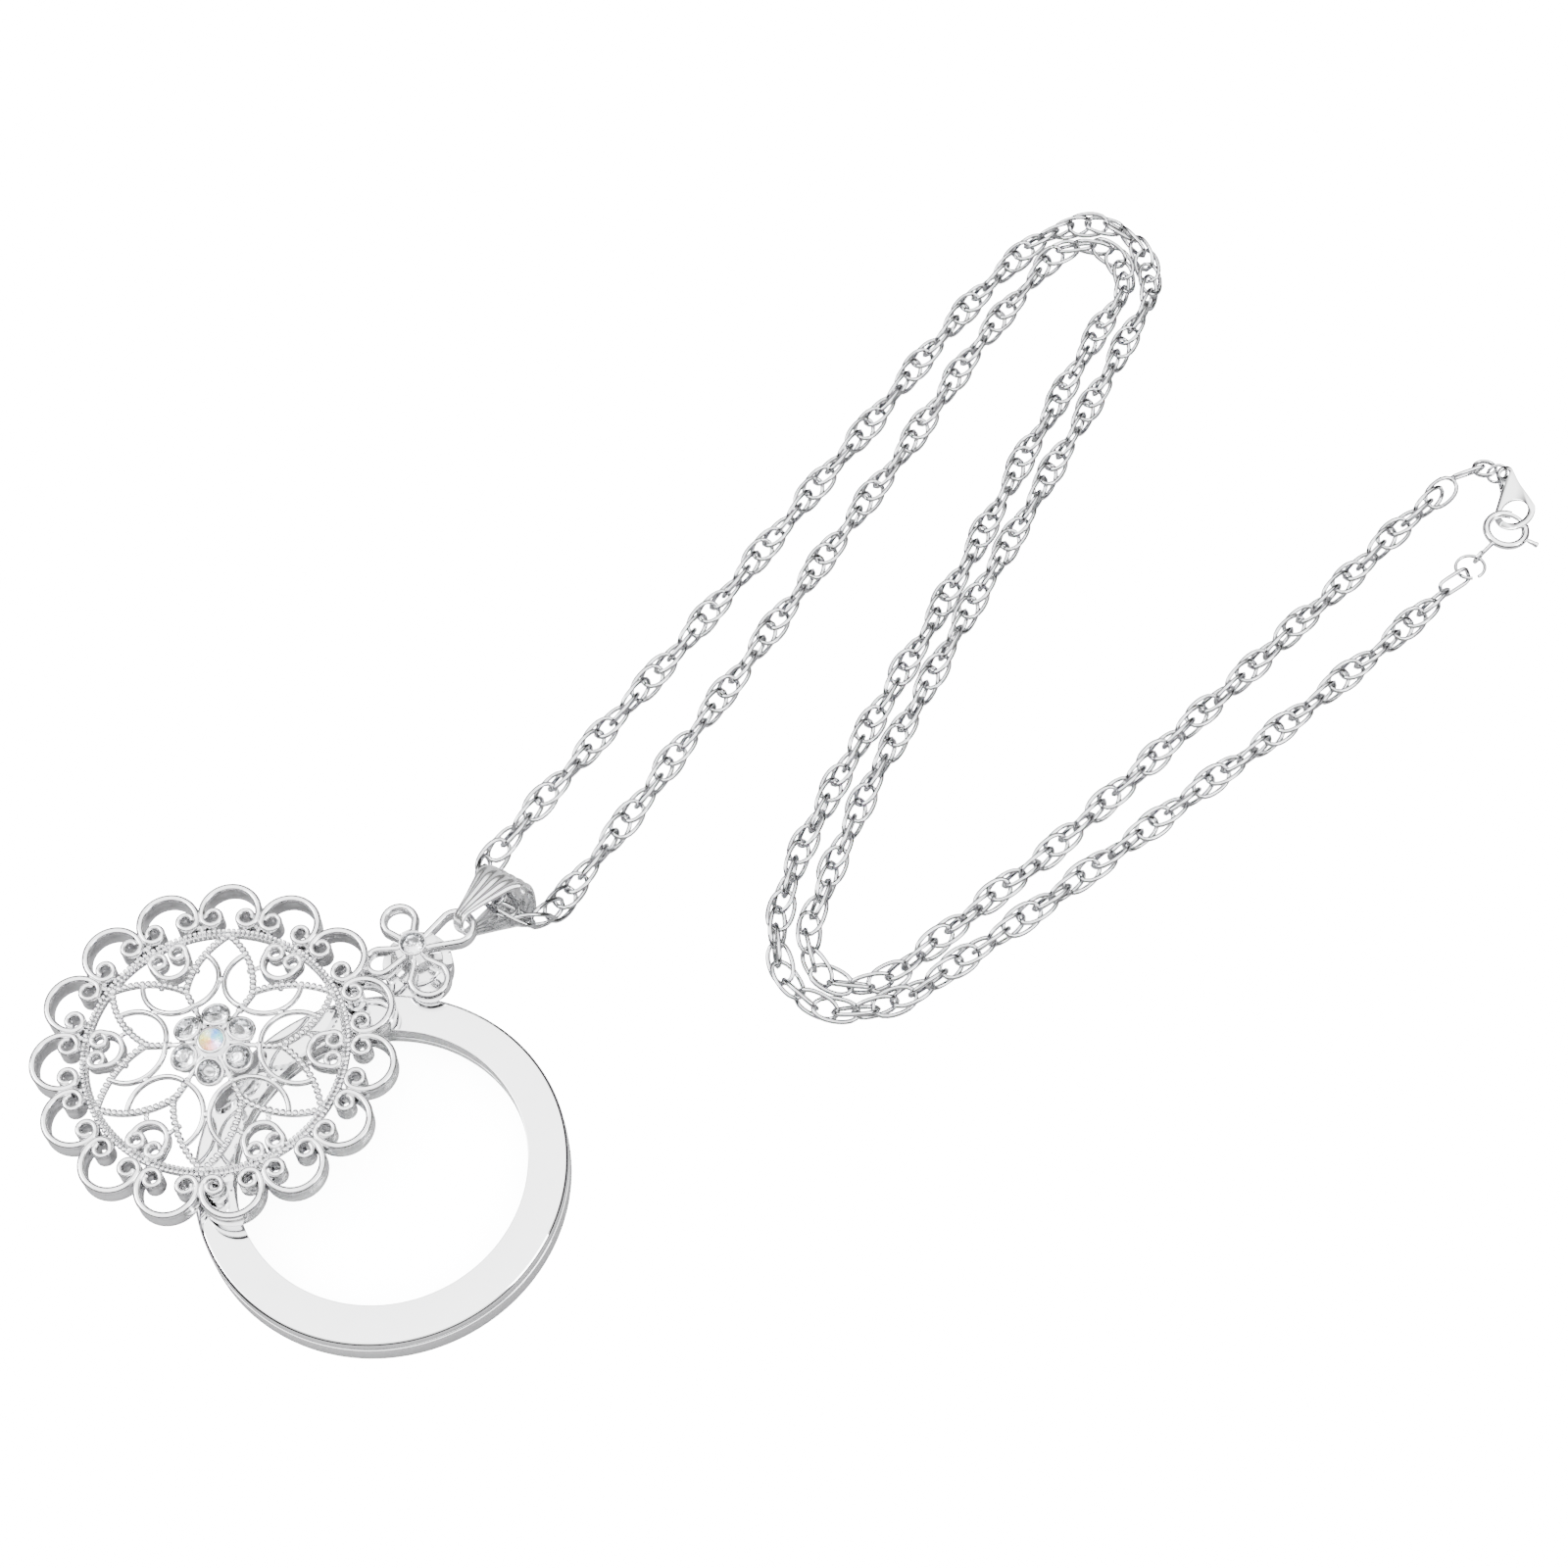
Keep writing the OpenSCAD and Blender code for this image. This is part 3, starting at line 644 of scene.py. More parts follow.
cup_shell = lathe(cup_profile(1.76, stone_r + 0.05, 1.45), 40)
cups = [(cluster_place(cup_shell[0], k), cup_shell[1]) for k in range(outer_cups)]
cups.append((cup_shell[0] + [0, 0, middle_cup_z], cup_shell[1]))
hub = lathe([[0, 7.7], [3.9, 7.75], [4.3, 8.05], [3.7, 8.75], [2.4, 9.1], [0, 9.1]], 48)
strut_path = np.array([[2.0, 0, 9.35], [2.8, 0, 9.2], [3.9, 0, 8.7], [5.3, 0, 8.45]])
struts = around(tube(smooth(strut_path, 4), 0.3, 8), outer_cups, 180 / outer_cups)
cup_cluster = join(cups + [hub] + struts)
print("cups:", len(cup_cluster[0]), "points")

# %% [markdown]
# ## The flower
# Four loops and a stone cup, cast as one, with a foot through which the rivet passes. A loop is
# a teardrop of tall rounded wire. The loop that reaches furthest carries the bail.

# %% Flower loops, post and cup
petal_z, petal_h, cup_top, foot_z, head_z = 4.95, 1.95, 8.2, 2.75, 5.0
loop_z = petal_z + petal_h / 2


def loop_line(reach, radius):
    """A closed flat path: a round end at reach, whose sides run in a straight line to the cup."""
    end = arc((reach, 0), radius, -110, 110, 24)
    neck = np.array([[2.0, 0.85], [1.2, 0.6], [1.2, -0.6], [2.0, -0.85]])
    return even(smooth(np.vstack([end, neck]), 6, closed=True), 0.22)[0]


def petal(angle, reach, radius, width, web_end):
    """One loop of the flower, its section an upright oval, with a web that fills it from the cup
    to web_end."""
    path = raised(loop_line(reach, radius - width / 2), loop_z)
    oval = round_section(1.0, 14)
    section = np.sign(oval) * np.abs(oval) ** 0.8 * [width / 2, petal_h / 2]
    web_path = np.array([[x, 0, petal_z + 1] for x in (0.8, 1.6, web_end)])
    shell = join([sweep(path, section, closed=True), sweep(web_path, rounded(1.5, -0.9, 0.8, 0.35, 3))])
    return turned(shell[0], angle), shell[1]


# Each loop: its angle, reach, the radius of its round end, its wire's width and its web's end.
petals = [petal(*row) for row in [
    (118.5, 4.3, 2.45, 1.0, 2.6), (31, 5.75, 2.6, 1.0, 2.9),
    (298, 4.5, 2.75, 1.0, 2.3), (203, 4.4, 2.1, 0.95, 2.2)]]
post = lathe([
    [1.05, foot_z], [3.1, foot_z], [3.2, foot_z + 0.12], [3.2, foot_z + 0.68],
    [3.05, foot_z + 0.8], [2.3, foot_z + 0.85], [2.0, foot_z + 1.1], [1.7, 5.6], [1.62, 6.9],
    [1.64, 7.7], [1.7, cup_top - 0.12], [1.64, cup_top], [1.54, cup_top + 0.02],
    [1.48, cup_top - 0.05], [1.48, cup_top - 1.1], [1.36, cup_top - 1.2], [0, cup_top - 1.2],
    [0, cup_top - 1.9], [1.45, cup_top - 2.0], [1.45, head_z], [1.05, head_z]], 64)
flower = join(petals + [post])
print("flower:", len(flower[0]), "points")

# %% Medallion pieces
castings = {"scallops": (scallop_wall, 50), "bead_ring": (bead_ring, 50),
            "star": (join([star_shell, kidneys]), 50), "stone_cups": (cup_cluster, 45)}
for name, (shell, sharp) in castings.items():
    piece(name, medal_place(shell), cast_silver, "pendant", ["medallion"], sharp)
piece("flower", flower, cast_silver, "pendant", ["medallion"], 50)

# %% [markdown]
# ## Cut stones
# A cut stone has a flat table, small facets round it, larger ones down to the girdle, and a
# pavilion that ends in a point. This crown has eight star facets and twenty-four facets below
# them, and the pavilion has sixteen. The heights are shares of the radius. Under each stone lies
# its foil, a cone of mirror facets, a hair below the pavilion.

# %% Stones and foils
def brilliant(radius):
    """Rings of points: table at 0.56 r, kite corners at 0.80 r, girdle at r, and one culet."""
    eight, sixteen = np.arange(8) * np.pi / 4, np.arange(16) * np.pi / 8
    table = np.stack([0.56 * np.cos(eight), 0.56 * np.sin(eight), 0 * eight + 0.33], -1)
    kite = np.stack([0.80 * np.cos(eight + np.pi / 8), 0.80 * np.sin(eight + np.pi / 8), 0 * eight + 0.2], -1)
    upper = np.stack([np.cos(sixteen), np.sin(sixteen), 0 * sixteen + 0.02], -1)
    lower = upper * [1, 1, 0] + [0, 0, -0.05]
    points = np.vstack([table, kite, upper, lower, [[0, 0, -0.6]]]) * radius
    faces = [list(range(8))]
    for k in range(8):
        n, corner = (k + 1) % 8, 16 + 2 * k
        faces += [[k, 8 + k, n], [8 + k, k, corner], [8 + k, corner + 1, 16 + (2 * k + 2) % 16, n],
                  [8 + k, corner, corner + 1]]
    for k in range(16):
        n = (k + 1) % 16
        faces += [[16 + k, 32 + k, 32 + n, 16 + n], [32 + k, 48, 32 + n]]
    return points, faces


def foil_cone(radius):
    """The mirror behind a stone: sixteen facets just under its pavilion, closed by a flat back."""
    a = np.arange(16) * np.pi / 8
    rim = np.stack([0.97 * np.cos(a), 0.97 * np.sin(a), 0 * a - 0.1], -1)
    points = np.vstack([rim, rim - [0, 0, 0.62], [[0, 0, -0.66]]]) * radius
    facets = [[k, (k + 1) % 16, 32] for k in range(16)]
    wall = [[k, 16 + k, 16 + (k + 1) % 16, (k + 1) % 16] for k in range(16)]
    return points, facets + wall + [list(range(16, 32))[::-1]]


stone, backing = brilliant(stone_r), foil_cone(stone_r)
flower_stone_r, spin_step = 1.43, 17.0
foils = []
for k in range(outer_cups):
    cut, mirror = [
        medal_place((cluster_place(turned(shell[0], spin_step * k) - [0, 0, stone_drop], k), shell[1]))
        for shell in (stone, backing)]
    stone_node = [f"cluster_stone_{k + 1}"]
    piece(f"crystal_{k + 1}", cut, crystal, "pendant", stone_node, 0)
    foils.append(mirror)
in_middle = [0, 0, middle_cup_z - stone_drop]
middle = medal_place((stone[0] + in_middle, stone[1]))
piece("middle_crystal", middle, rainbow, "pendant", ["centre_stone"], 0)
foils.append(medal_place((backing[0] + in_middle, backing[1])))
in_flower = [0, 0, cup_top - stone_drop]
cut, mirror = brilliant(flower_stone_r), foil_cone(flower_stone_r)
cut = (cut[0] + in_flower, cut[1])
piece("flower_crystal", cut, crystal, "pendant", ["flower_stone"], 0)
foils.append((mirror[0] + in_flower, mirror[1]))
piece("stone_foils", join(foils), foil, "pendant", (), 0)

# %% [markdown]
# ## The lens and its frame
# Two turned bands clamp the lens. The lower one has an ear for the rivet. Every edge gets a small
# round, because a polished edge shows as a bright line.

# %% Eased edges
lens_reach, lens_angle = 27.2, 265.3  # from the rivet to the lens's middle
lens_middle = at_angle(lens_reach, lens_angle)


def eased(corners, radius, steps=3):
    """A closed profile with each corner cut to a small curve: (1 - t)^2 a + 2 t (1 - t) corner
    + t^2 b, where a and b lie on the two sides, a radius away or less on a short side."""
    c = np.asarray(corners, float)
    before, after = np.roll(c, 1, 0) - c, np.roll(c, -1, 0) - c
    shorter_side = np.minimum(np.linalg.norm(before, axis=1), np.linalg.norm(after, axis=1))
    r = np.minimum(radius, 0.4 * shorter_side)[:, None]
    t = np.linspace(0, 1, steps + 1)[None, :, None]
    a, b = c + unit(before) * r, c + unit(after) * r
    return ((1 - t) ** 2 * a[:, None] + 2 * t * (1 - t) * c[:, None] + t ** 2 * b[:, None]).reshape(-1, 2)


def plate(outline, bottom, top, ease=0.12):
    """A flat outline given thickness, with its edges eased by two narrow rings."""
    o = np.asarray(outline, float)
    t = unit(np.roll(o, -1, 0) - np.roll(o, 1, 0))
    inward = np.stack([-t[:, 1], t[:, 0]], -1) * ease
    rings = [(o + inward, bottom), (o + 0.3 * inward, bottom + 0.3 * ease), (o, bottom + ease),
             (o, top - ease), (o + 0.3 * inward, top - 0.3 * ease), (o + inward, top)]
    points = np.vstack([raised(r, z) for r, z in rings])
    faces = grid_faces(len(rings), len(o), False, True).tolist()
    return points, faces + end_faces(len(rings), len(o))


print("lens middle:", lens_middle.round(2))

# %% Frame and rim
opening_r, groove_r, frame_r, face_r = 17.15, 17.8, 22, 21.5
lower_band = lathe(eased([
    [opening_r, 0], [frame_r, 0], [frame_r, 2.8], [groove_r, 2.8], [groove_r, 1.6],
    [opening_r, 1.6]], 0.14), 240)
upper_band = lathe(eased([
    [opening_r, 2.86], [face_r, 2.86], [face_r, 3.26], [21.95, 3.34], [21.95, 4.2],
    [21.82, 4.42], [21.55, 4.6], [opening_r, 4.6]], 0.1), 240)
ear_outline = np.vstack([arc((0, 0), 4.3, 44, 316, 60), [[6.4, -3.0]], [[6.4, 3.0]]])
ear = plate(turned(raised(ear_outline, 0), lens_angle)[:, :2], 0.02, 2.6)
print("ear:", len(ear[0]))
lower = join([(lower_band[0] + lens_middle, lower_band[1]), ear])
upper = (upper_band[0] + lens_middle, upper_band[1])
piece("lens_band_lower", lower, frame_silver, "swing_lens", ["lens_frame"], 35)
piece("lens_band_upper", upper, frame_silver, "swing_lens", ["lens_rim"], 35)

# %% Lens and rivet
radius_of_face, glass_r, glass_z, half_edge = 125.0, 17.7, 2.22, 0.55
across = np.linspace(0, glass_r, 26)
bulge = np.sqrt(radius_of_face ** 2 - across ** 2) - math.sqrt(radius_of_face ** 2 - glass_r ** 2) + half_edge
lens_lower, lens_upper = (np.column_stack([across, glass_z + s * bulge]) for s in (-1, 1))
lens_shell = lathe(np.vstack([lens_lower, lens_upper[::-1]]), 160)
lens_disc = (lens_shell[0] + lens_middle, lens_shell[1])
piece("lens_glass_disc", lens_disc, lens_glass, "swing_lens", ["lens"], 60)
rivet = lathe([[0, 0.65], [1.0, 0.65], [1.0, 5.05], [1.35, 5.05], [1.35, 5.3], [1.1, 5.55],
               [0.5, 5.6], [0, 5.6]], 32)
piece("rivet", rivet, frame_silver, "swing_lens", ["pivot_rivet"], 35)

# %% [markdown]
# ## The bail
# A strip of sheet silver, wide at the fold and narrow at the nose, pressed with ribs that fan out
# from the nose, and folded to a loop. Its path is a closed pear shape seen from the side. Across
# the strip the outer face rises and falls with a cosine, and the ribs fade towards the nose.

# %% Bail surface
nose_r, fold_r, fold_reach, leaf = 1.5, 2.55, 5.1, 0.45
bail_roll, bail_dip, bail_heading = -25, 10, 45
bail_reach, bail_direction = 7.7, 33
rib_waves, edge_drop = 4.4, 0.16
lean = math.degrees(math.asin((fold_r - nose_r) / fold_reach))
nose = arc((0, 0), nose_r, 90 + lean, 270 - lean, 20)
fold = arc((fold_reach, 0), fold_r, -90 - lean, 90 + lean, 34)
pear = even(np.vstack([nose, fold, nose[:1]]), 0.2)[0][:-1]
half_width = np.interp(pear[:, 0], [-2.2, -0.5, 1.5, 6.0, 7.3, 8.2], [0.9, 1.0, 1.75, 3.75, 3.5, 2.7])
along = unit(np.roll(pear, -1, 0) - np.roll(pear, 1, 0))
outward = np.stack([along[:, 1], -along[:, 0]], -1)
across_leaf = np.linspace(-1, 1, 41)[None, :]
rib_strength = np.interp(pear[:, 0], [-1.2, 1.5, 7.5], [0.0, 0.12, 0.2])[:, None]
ribs = 0.5 + 0.5 * np.cos(across_leaf * math.pi * rib_waves)
rise = rib_strength * ribs * np.sqrt(1 - 0.6 * across_leaf ** 8)
edge_ease = edge_drop * np.abs(across_leaf) ** 10


def leaf_rows(offset):
    """Rows of points of one face: the pear path moved out by offset, spread across the strip."""
    x = pear[:, None, 0] + outward[:, None, 0] * offset
    z = pear[:, None, 1] + outward[:, None, 1] * offset
    y = half_width[:, None] * across_leaf
    return np.stack(np.broadcast_arrays(x, y, z), -1)


outer_face, inner_face = leaf_rows(leaf + rise - edge_ease), leaf_rows(0.45 * rise + edge_ease * 0.5)
rows = np.concatenate([outer_face, inner_face[:, ::-1]], axis=1)
bail_points = rows.reshape(-1, 3)
bail_faces = grid_faces(rows.shape[0], rows.shape[1], True, True).tolist()
for angle, axis in [(bail_roll, 0), (bail_dip, 1), (bail_heading, 2)]:
    bail_points = turned(bail_points, angle, axis)
bail_points = bail_points + at_angle(bail_reach, bail_direction, loop_z)
piece("fluted_bail", (bail_points, bail_faces), bail_silver, "pendant", ["bail"], 60)

# %% [markdown]
# ## The chain's route
# Both strands start inside the bail. Two lists give points of each strand, from the bail to the
# clasp, and a third goes through the bail with a height for each point. One smooth curve runs
# through them all. The strands lie side by side in the folds, and one is the outer strand at the
# far fold and the inner one at the near fold.

# %% Routes
upper_flat = [
    (7.4, 13), (11, 18.8), (17.5, 27.7), (24, 36.5), (30.5, 45.3), (36.9, 54.3), (43.2, 63.3),
    (49.4, 72.4), (55.8, 81.4), (61.9, 90.5), (68.2, 99.5), (74.8, 108.3), (81.1, 115.1), (83.3, 116.7),
    (85.9, 117.8), (88.6, 118.4), (91.4, 118.2), (93.7, 116.7), (95.4, 114.4), (96.5, 111.9),
    (97, 109.1), (96.8, 106.3), (96, 103.7), (91.1, 93.8), (86.2, 84), (81, 74.3), (75.9, 64.5),
    (70.7, 54.8), (65.7, 45), (60.8, 35.2), (55.8, 25.4), (51.6, 15.2), (48.3, 6.2), (48, 3.5),
    (48.5, 0.7), (50.2, -1.5), (52.8, -2.5), (55.5, -2.4), (58.1, -1.4), (60.3, 0.4), (68.6, 7.6),
    (77, 14.7), (80.2, 17.7), (88.1, 25.4), (95.8, 33.2), (103.7, 40.8), (111.4, 48.7), (119.2, 56.4),
    (126.8, 64.4), (135.6, 72.6)]
lower_flat = [
    (19.1, 11.6), (25.2, 20.8), (31.1, 30.1), (37.1, 39.3), (42.9, 48.7), (48.7, 58), (54.5, 67.4),
    (60.4, 76.7), (66, 86.1), (71.5, 95.6), (75.1, 100.9), (81.4, 109.9), (83.2, 112.1), (85.4, 113.7),
    (88.1, 114.3), (90.8, 113.6), (92.7, 111.6), (93.3, 108.9), (92.9, 106.2), (91.7, 103.6),
    (86.4, 94), (81.8, 84.7), (78.3, 78.4), (73.6, 68.5), (68.7, 58.6), (63.7, 48.8), (58.5, 39.1),
    (53.4, 29.4), (48.6, 19.5), (46.1, 13.6), (44.4, 7.4), (44, 4.7), (44.1, 1.9), (44.9, -0.8),
    (46.3, -3.2), (48.4, -5), (51, -6), (53.8, -6.1), (56.5, -5.5), (59.1, -4.5), (61.6, -3.1),
    (70.4, 3.4), (79.2, 10.1), (87.8, 16.9), (96.4, 23.8), (105, 30.6), (109.9, 34.7), (118.2, 41.9),
    (126.5, 49.1), (132.2, 54.7)]
lie = 1.85  # the height of a strand's middle over the table
through_bail = [
    (7.8, 11.5, 2.9), (8.4, 9.6, 4.0), (9.5, 7.8, 4.9), (10.8, 6.2, 5.3), (12.4, 5.2, 5.1),
    (14.3, 5.3, 4.1), (16.9, 7.9, 2.5)]
upper_space = [(x, y, lie) for x, y in upper_flat]
lower_space = [(x, y, lie) for x, y in lower_flat]
route, route_along = even(smooth(upper_space[::-1] + through_bail + lower_space, 12), 0.25)
bail_at = route_along[np.argmin(np.linalg.norm(route - np.array(through_bail[2]), axis=1))]
print("chain length in mm:", round(float(route_along[-1]), 1), "bail at", round(float(bail_at), 1))

# %% [markdown]
# ## The links
# A rope chain of this kind has oval links, and each one passes through the two before it. It is
# turned a little against the last one, so after four or five links the chain shows its face
# again. The turn isn't quite even along a real chain, so the places where a link lies flat are
# listed, and the turn runs evenly between them. Each list gives millimetres along its strand,
# from near the place where the strand leaves the bail.

# %% One link
link_length, link_width, link_wire, link_gap = 6.2, 3.72, 0.6, 2.45
twist_way = -1.0  # the rope's hand: 1 or -1
flat_upper = [
    3, 14, 26, 37.7, 50.5, 63.2, 75.5, 88.3, 101, 113.5, 126, 137.5, 150.5, 162, 174.5,
    188, 199.5, 211.8, 222.5, 233.5, 243.5, 252, 261, 269, 277.5, 287.5, 297.5, 307, 316, 325, 334.8,
    344, 354.7, 364.5, 375, 385]
flat_lower = [
    12.3, 22, 34.3, 46.3, 59, 71.5, 84.5, 95.8, 107.5, 121.5, 132, 143.5, 155.5, 169, 182,
    194, 206, 216, 226.5, 236.5, 246, 255, 263.5, 271.5, 281, 292, 302, 313.5, 323.5, 335.5, 347.5, 360,
    371]


def oval(length, width, count, power):
    """An oval in the plane z = 0: |x / a| ** power + |y / b| ** power = 1. Power 2 is an ellipse,
    and a higher power gives fuller ends and straighter sides."""
    t = np.linspace(0, 2 * np.pi, 721)
    c, s = np.cos(t), np.sin(t)
    x = length / 2 * np.sign(c) * np.abs(c) ** (2 / power)
    y = width / 2 * np.sign(s) * np.abs(s) ** (2 / power)
    path = np.column_stack([x, y])
    around_it = float(np.linalg.norm(np.diff(path, axis=0), axis=1).sum())
    return raised(even(path, around_it / count)[0][:count], 0)


def oval_link(length, width, wire, count, sides, power):
    """A closed wire along the oval that has these outer sizes. Its few sides cut inside the round,
    so the wire is drawn a little thicker."""
    thicker = 1.06
    path = oval(length - wire, width - wire, count, power)
    a = 2 * np.pi * (np.arange(sides) + 0.5) / sides
    section = np.stack([np.cos(a), np.sin(a)], -1) * wire / 2 * thicker
    return sweep(path, section, closed=True)


link_shell = oval_link(link_length, link_width, link_wire, 20, 5, 2.25)
print("one link:", len(link_shell[1]), "faces")

# %% Links along the route
wobble = np.random.default_rng(7)
first_at, last_left, before_bail, after_bail = 2.2, 1.9, 17.3, 14.5
upper_flats = bail_at - before_bail - np.array(flat_upper)
flats_in_bail = bail_at + np.array([-10.5, 0, 13.4])
lower_flats = bail_at + after_bail + np.array(flat_lower)
flat_at = np.concatenate([upper_flats[::-1], flats_in_bail, lower_flats])
links = round((route_along[-1] - first_at - last_left) / link_gap) + 1
link_at = np.linspace(first_at, route_along[-1] - last_left, links)
turn_of = np.interp(link_at, flat_at, 180.0 * np.arange(len(flat_at))) + wobble.normal(0, 2.5, links)


def on_route(at):
    """The point of the route at each distance along it."""
    return np.stack([np.interp(at, route_along, route[:, i]) for i in range(3)], -1)


centres = on_route(link_at)
ahead = unit(on_route(link_at + 2.0) - on_route(link_at - 2.0))
left = unit(np.cross([0, 0, 1], ahead))
above = np.cross(ahead, left)
centres = centres + left * wobble.normal(0, 0.05, (links, 1))


def placed_links(which):
    """Each link's points: its own x along the route, and its y and z turned about the route."""
    a = np.radians(turn_of[which])[:, None, None] * twist_way
    x, y, z = (link_shell[0][None, :, i, None] for i in range(3))
    across, up = y * np.cos(a) - z * np.sin(a), y * np.sin(a) + z * np.cos(a)
    middle, forward, aside, upward = (part[which][:, None] for part in (centres, ahead, left, above))
    points = middle + x * forward + across * aside + up * upward
    return join([(p, link_shell[1]) for p in points])


in_upper = link_at < bail_at
strands = {"upper_links": (in_upper, "chain_upper"), "lower_links": (~in_upper, "chain_lower")}
for name, (which, node_name) in strands.items():
    piece(name, placed_links(which), shaded_chain_silver, "pendant", [node_name], 90)
print("links:", links)

# %% [markdown]
# ## The clasp
# A spring ring with its thumb knob, hooked through a flat tag, and the small rings and links that
# join both to the chain. Rings are round wire, and the tag is stamped sheet with eased edges.
# Each piece is drawn flat about its own middle, then turned about one axis after another and
# moved to its place. Axis 0 is X, 1 is Y and 2 is Z.

# %% Clasp wires
def ring_wire(radius, wire, steps=40, sides=10):
    """A closed round ring of wire in the plane z = 0."""
    return tube(raised(arc((0, 0), radius, 0, 360 - 360 / steps, steps), 0), wire, sides, closed=True)


def placed(shell, at, *turns):
    """Turns about an axis each, in order, and then moves."""
    points = shell[0]
    for degrees, axis in turns:
        points = turned(points, degrees, axis)
    return points + at, shell[1]


long_link_at, jump_ring_at = [134.25, 56.99, 1.18], [136.63, 59.38, 1.22]
long_link = placed(oval_link(5.3, 2.6, 0.54, 40, 10, 4.5), long_link_at, (48.5, 0), (35, 2))
piece("long_oval_link", long_link, shaded_chain_silver, "pendant", ["long_link"], 90)
open_ring = tube(raised(arc((0, 0), 1.9, -64, 273, 44), 0), 0.24, 10)
open_ring = placed(open_ring, jump_ring_at, (-4.3, 0), (-7.7, 1))
piece("open_jump_ring", open_ring, shaded_chain_silver, "pendant", ["jump_ring"], 50)

# %% Spring ring and bolt
spring_at, spring_r, tube_r, eye_angle, knob_angle = [142.2, 65.4, 1.25], 2.62, 0.53, 226, -33
bolt_start, tube_start, tube_end = -45, 67, 372
ring_tube = tube(raised(arc((0, 0), spring_r, tube_start, tube_end, 60), 0), tube_r, 16)
eye_plate = lathe([[0.55, -0.2], [0.95, -0.22], [1.05, -0.12], [1.05, 0.12], [0.95, 0.22], [0.55, 0.2]], 28)
eye_plate = placed(placed(eye_plate, [6.15, 0, 0], (90, 0)), [0, 0, 0], (eye_angle, 2))
eye_neck = tube(np.array([[3.0, 0, 0], [4.2, 0, 0], [5.3, 0, 0]]), 0.3, 10)
eye_neck = placed(eye_neck, [0, 0, 0], (eye_angle, 2))
spring_ring = placed(join([ring_tube, eye_plate, eye_neck]), spring_at)
piece("spring_ring_body", spring_ring, frame_silver, "pendant", ["spring_ring"], 50)
bolt = tube(raised(arc((0, 0), spring_r, bolt_start, tube_start, 30), 0), 0.3, 10)
knob = lathe([[0, 0], [0.22, 0], [0.22, 0.62], [0.3, 0.7], [0.34, 1.5], [0.42, 1.85], [0.36, 2.04],
              [0.2, 2.1], [0, 2.1]], 20)
knob = placed(placed(knob, [spring_r, 0, 0], (90, 1)), [0, 0, 0], (knob_angle, 2))
bolt_and_knob = placed(join([bolt, knob]), spring_at)
piece("spring_bolt_and_knob", bolt_and_knob, frame_silver, "bolt", ["spring_bolt"], 50)

# %% Tag, small rings and end link
def holed_plate(outline, holes, thickness, ease=0.08):
    """Sheet with round holes: the flat between the outline and the holes is filled with triangles,
    then it is given thickness, and its rims are eased."""
    work = bmesh.new()
    for loop in [outline] + holes:
        made = [work.verts.new((x, y, 0)) for x, y in loop]
        for a, b in zip(made, made[1:] + made[:1]):
            work.edges.new((a, b))
    bmesh.ops.triangle_fill(work, use_beauty=True, use_dissolve=True, edges=work.edges[:])
    bmesh.ops.recalc_face_normals(work, faces=work.faces)
    if sum(f.normal.z * f.calc_area() for f in work.faces) < 0:
        bmesh.ops.reverse_faces(work, faces=work.faces)
    grown = bmesh.ops.extrude_face_region(work, geom=work.faces[:])
    moved = [v for v in grown["geom"] if isinstance(v, bmesh.types.BMVert)]
    bmesh.ops.translate(work, verts=moved, vec=(0, 0, thickness))
    bmesh.ops.recalc_face_normals(work, faces=work.faces)
    rims = [e for e in work.edges if len(e.link_faces) == 2 and e.calc_face_angle(0) > 1.0]
    bmesh.ops.bevel(work, geom=rims, offset=ease, segments=2, affect="EDGES", profile=0.5)
    bmesh.ops.recalc_face_normals(work, faces=work.faces)
    work.verts.index_update()
    points = np.array([v.co for v in work.verts], float)
    faces = [[v.index for v in f.verts] for f in work.faces]
    work.free()
    return points, faces


tag_bow_r, tag_eye_at, tag_eye_r = 2.8, (-0.2, 6.6), 1.2
tag_sheet, tag_at = 0.4, [143.63, 68.16, 1.5]
tag_outline = np.vstack([
    arc((0, 0), tag_bow_r, 175, 365, 44), [[2.1, 2.4], [1.45, 4.4]],
    arc(tag_eye_at, tag_eye_r, 5, 165, 22), [[-1.3, 5.0], [-1.35, 3.6], [-1.85, 2.3]]])
tag_outline = even(smooth(tag_outline, 4, closed=True), 0.28)[0]
tag_holes = [arc((0, 0), 1.85, 0, 350, 36), arc(tag_eye_at, 0.6, 0, 345, 24)]
tag_shell = holed_plate(tag_outline, tag_holes, tag_sheet)
tag_shell = (tag_shell[0] - [0, 0, tag_sheet / 2], tag_shell[1])
tag_shell = placed(tag_shell, tag_at, (8.5, 0), (19, 2), (-29.7, 1), (-19, 2))
piece("stamped_tag", tag_shell, frame_silver, "pendant", ["tag"], 30)

# %% Rings and link past the tag
tag_ring_at, split_ring_at = [142.13, 74.61, 1.41], [140.47, 75.34, 1.6]
end_link_at = [137.99, 74.58, 1.66]
tag_ring = placed(ring_wire(1.3, 0.22), tag_ring_at, (63.2, 0), (3.7, 2))
piece("tag_wire_ring", tag_ring, shaded_chain_silver, "pendant", ["tag_ring"], 90)
coil = arc((0, 0), 1.5, 20, 700, 90)
coil = np.column_stack([coil, np.linspace(-0.22, 0.22, len(coil))])
split_ring = placed(tube(coil, 0.23, 10), split_ring_at, (-13.4, 0), (-1, 1), (20, 2))
piece("double_ring", split_ring, shaded_chain_silver, "pendant", ["split_ring"], 50)
end_link = placed(oval_link(5.2, 2.6, 0.54, 40, 10, 4.5), end_link_at, (108, 0), (21.7, 2))
piece("end_oval_link", end_link, shaded_chain_silver, "pendant", ["end_link"], 90)

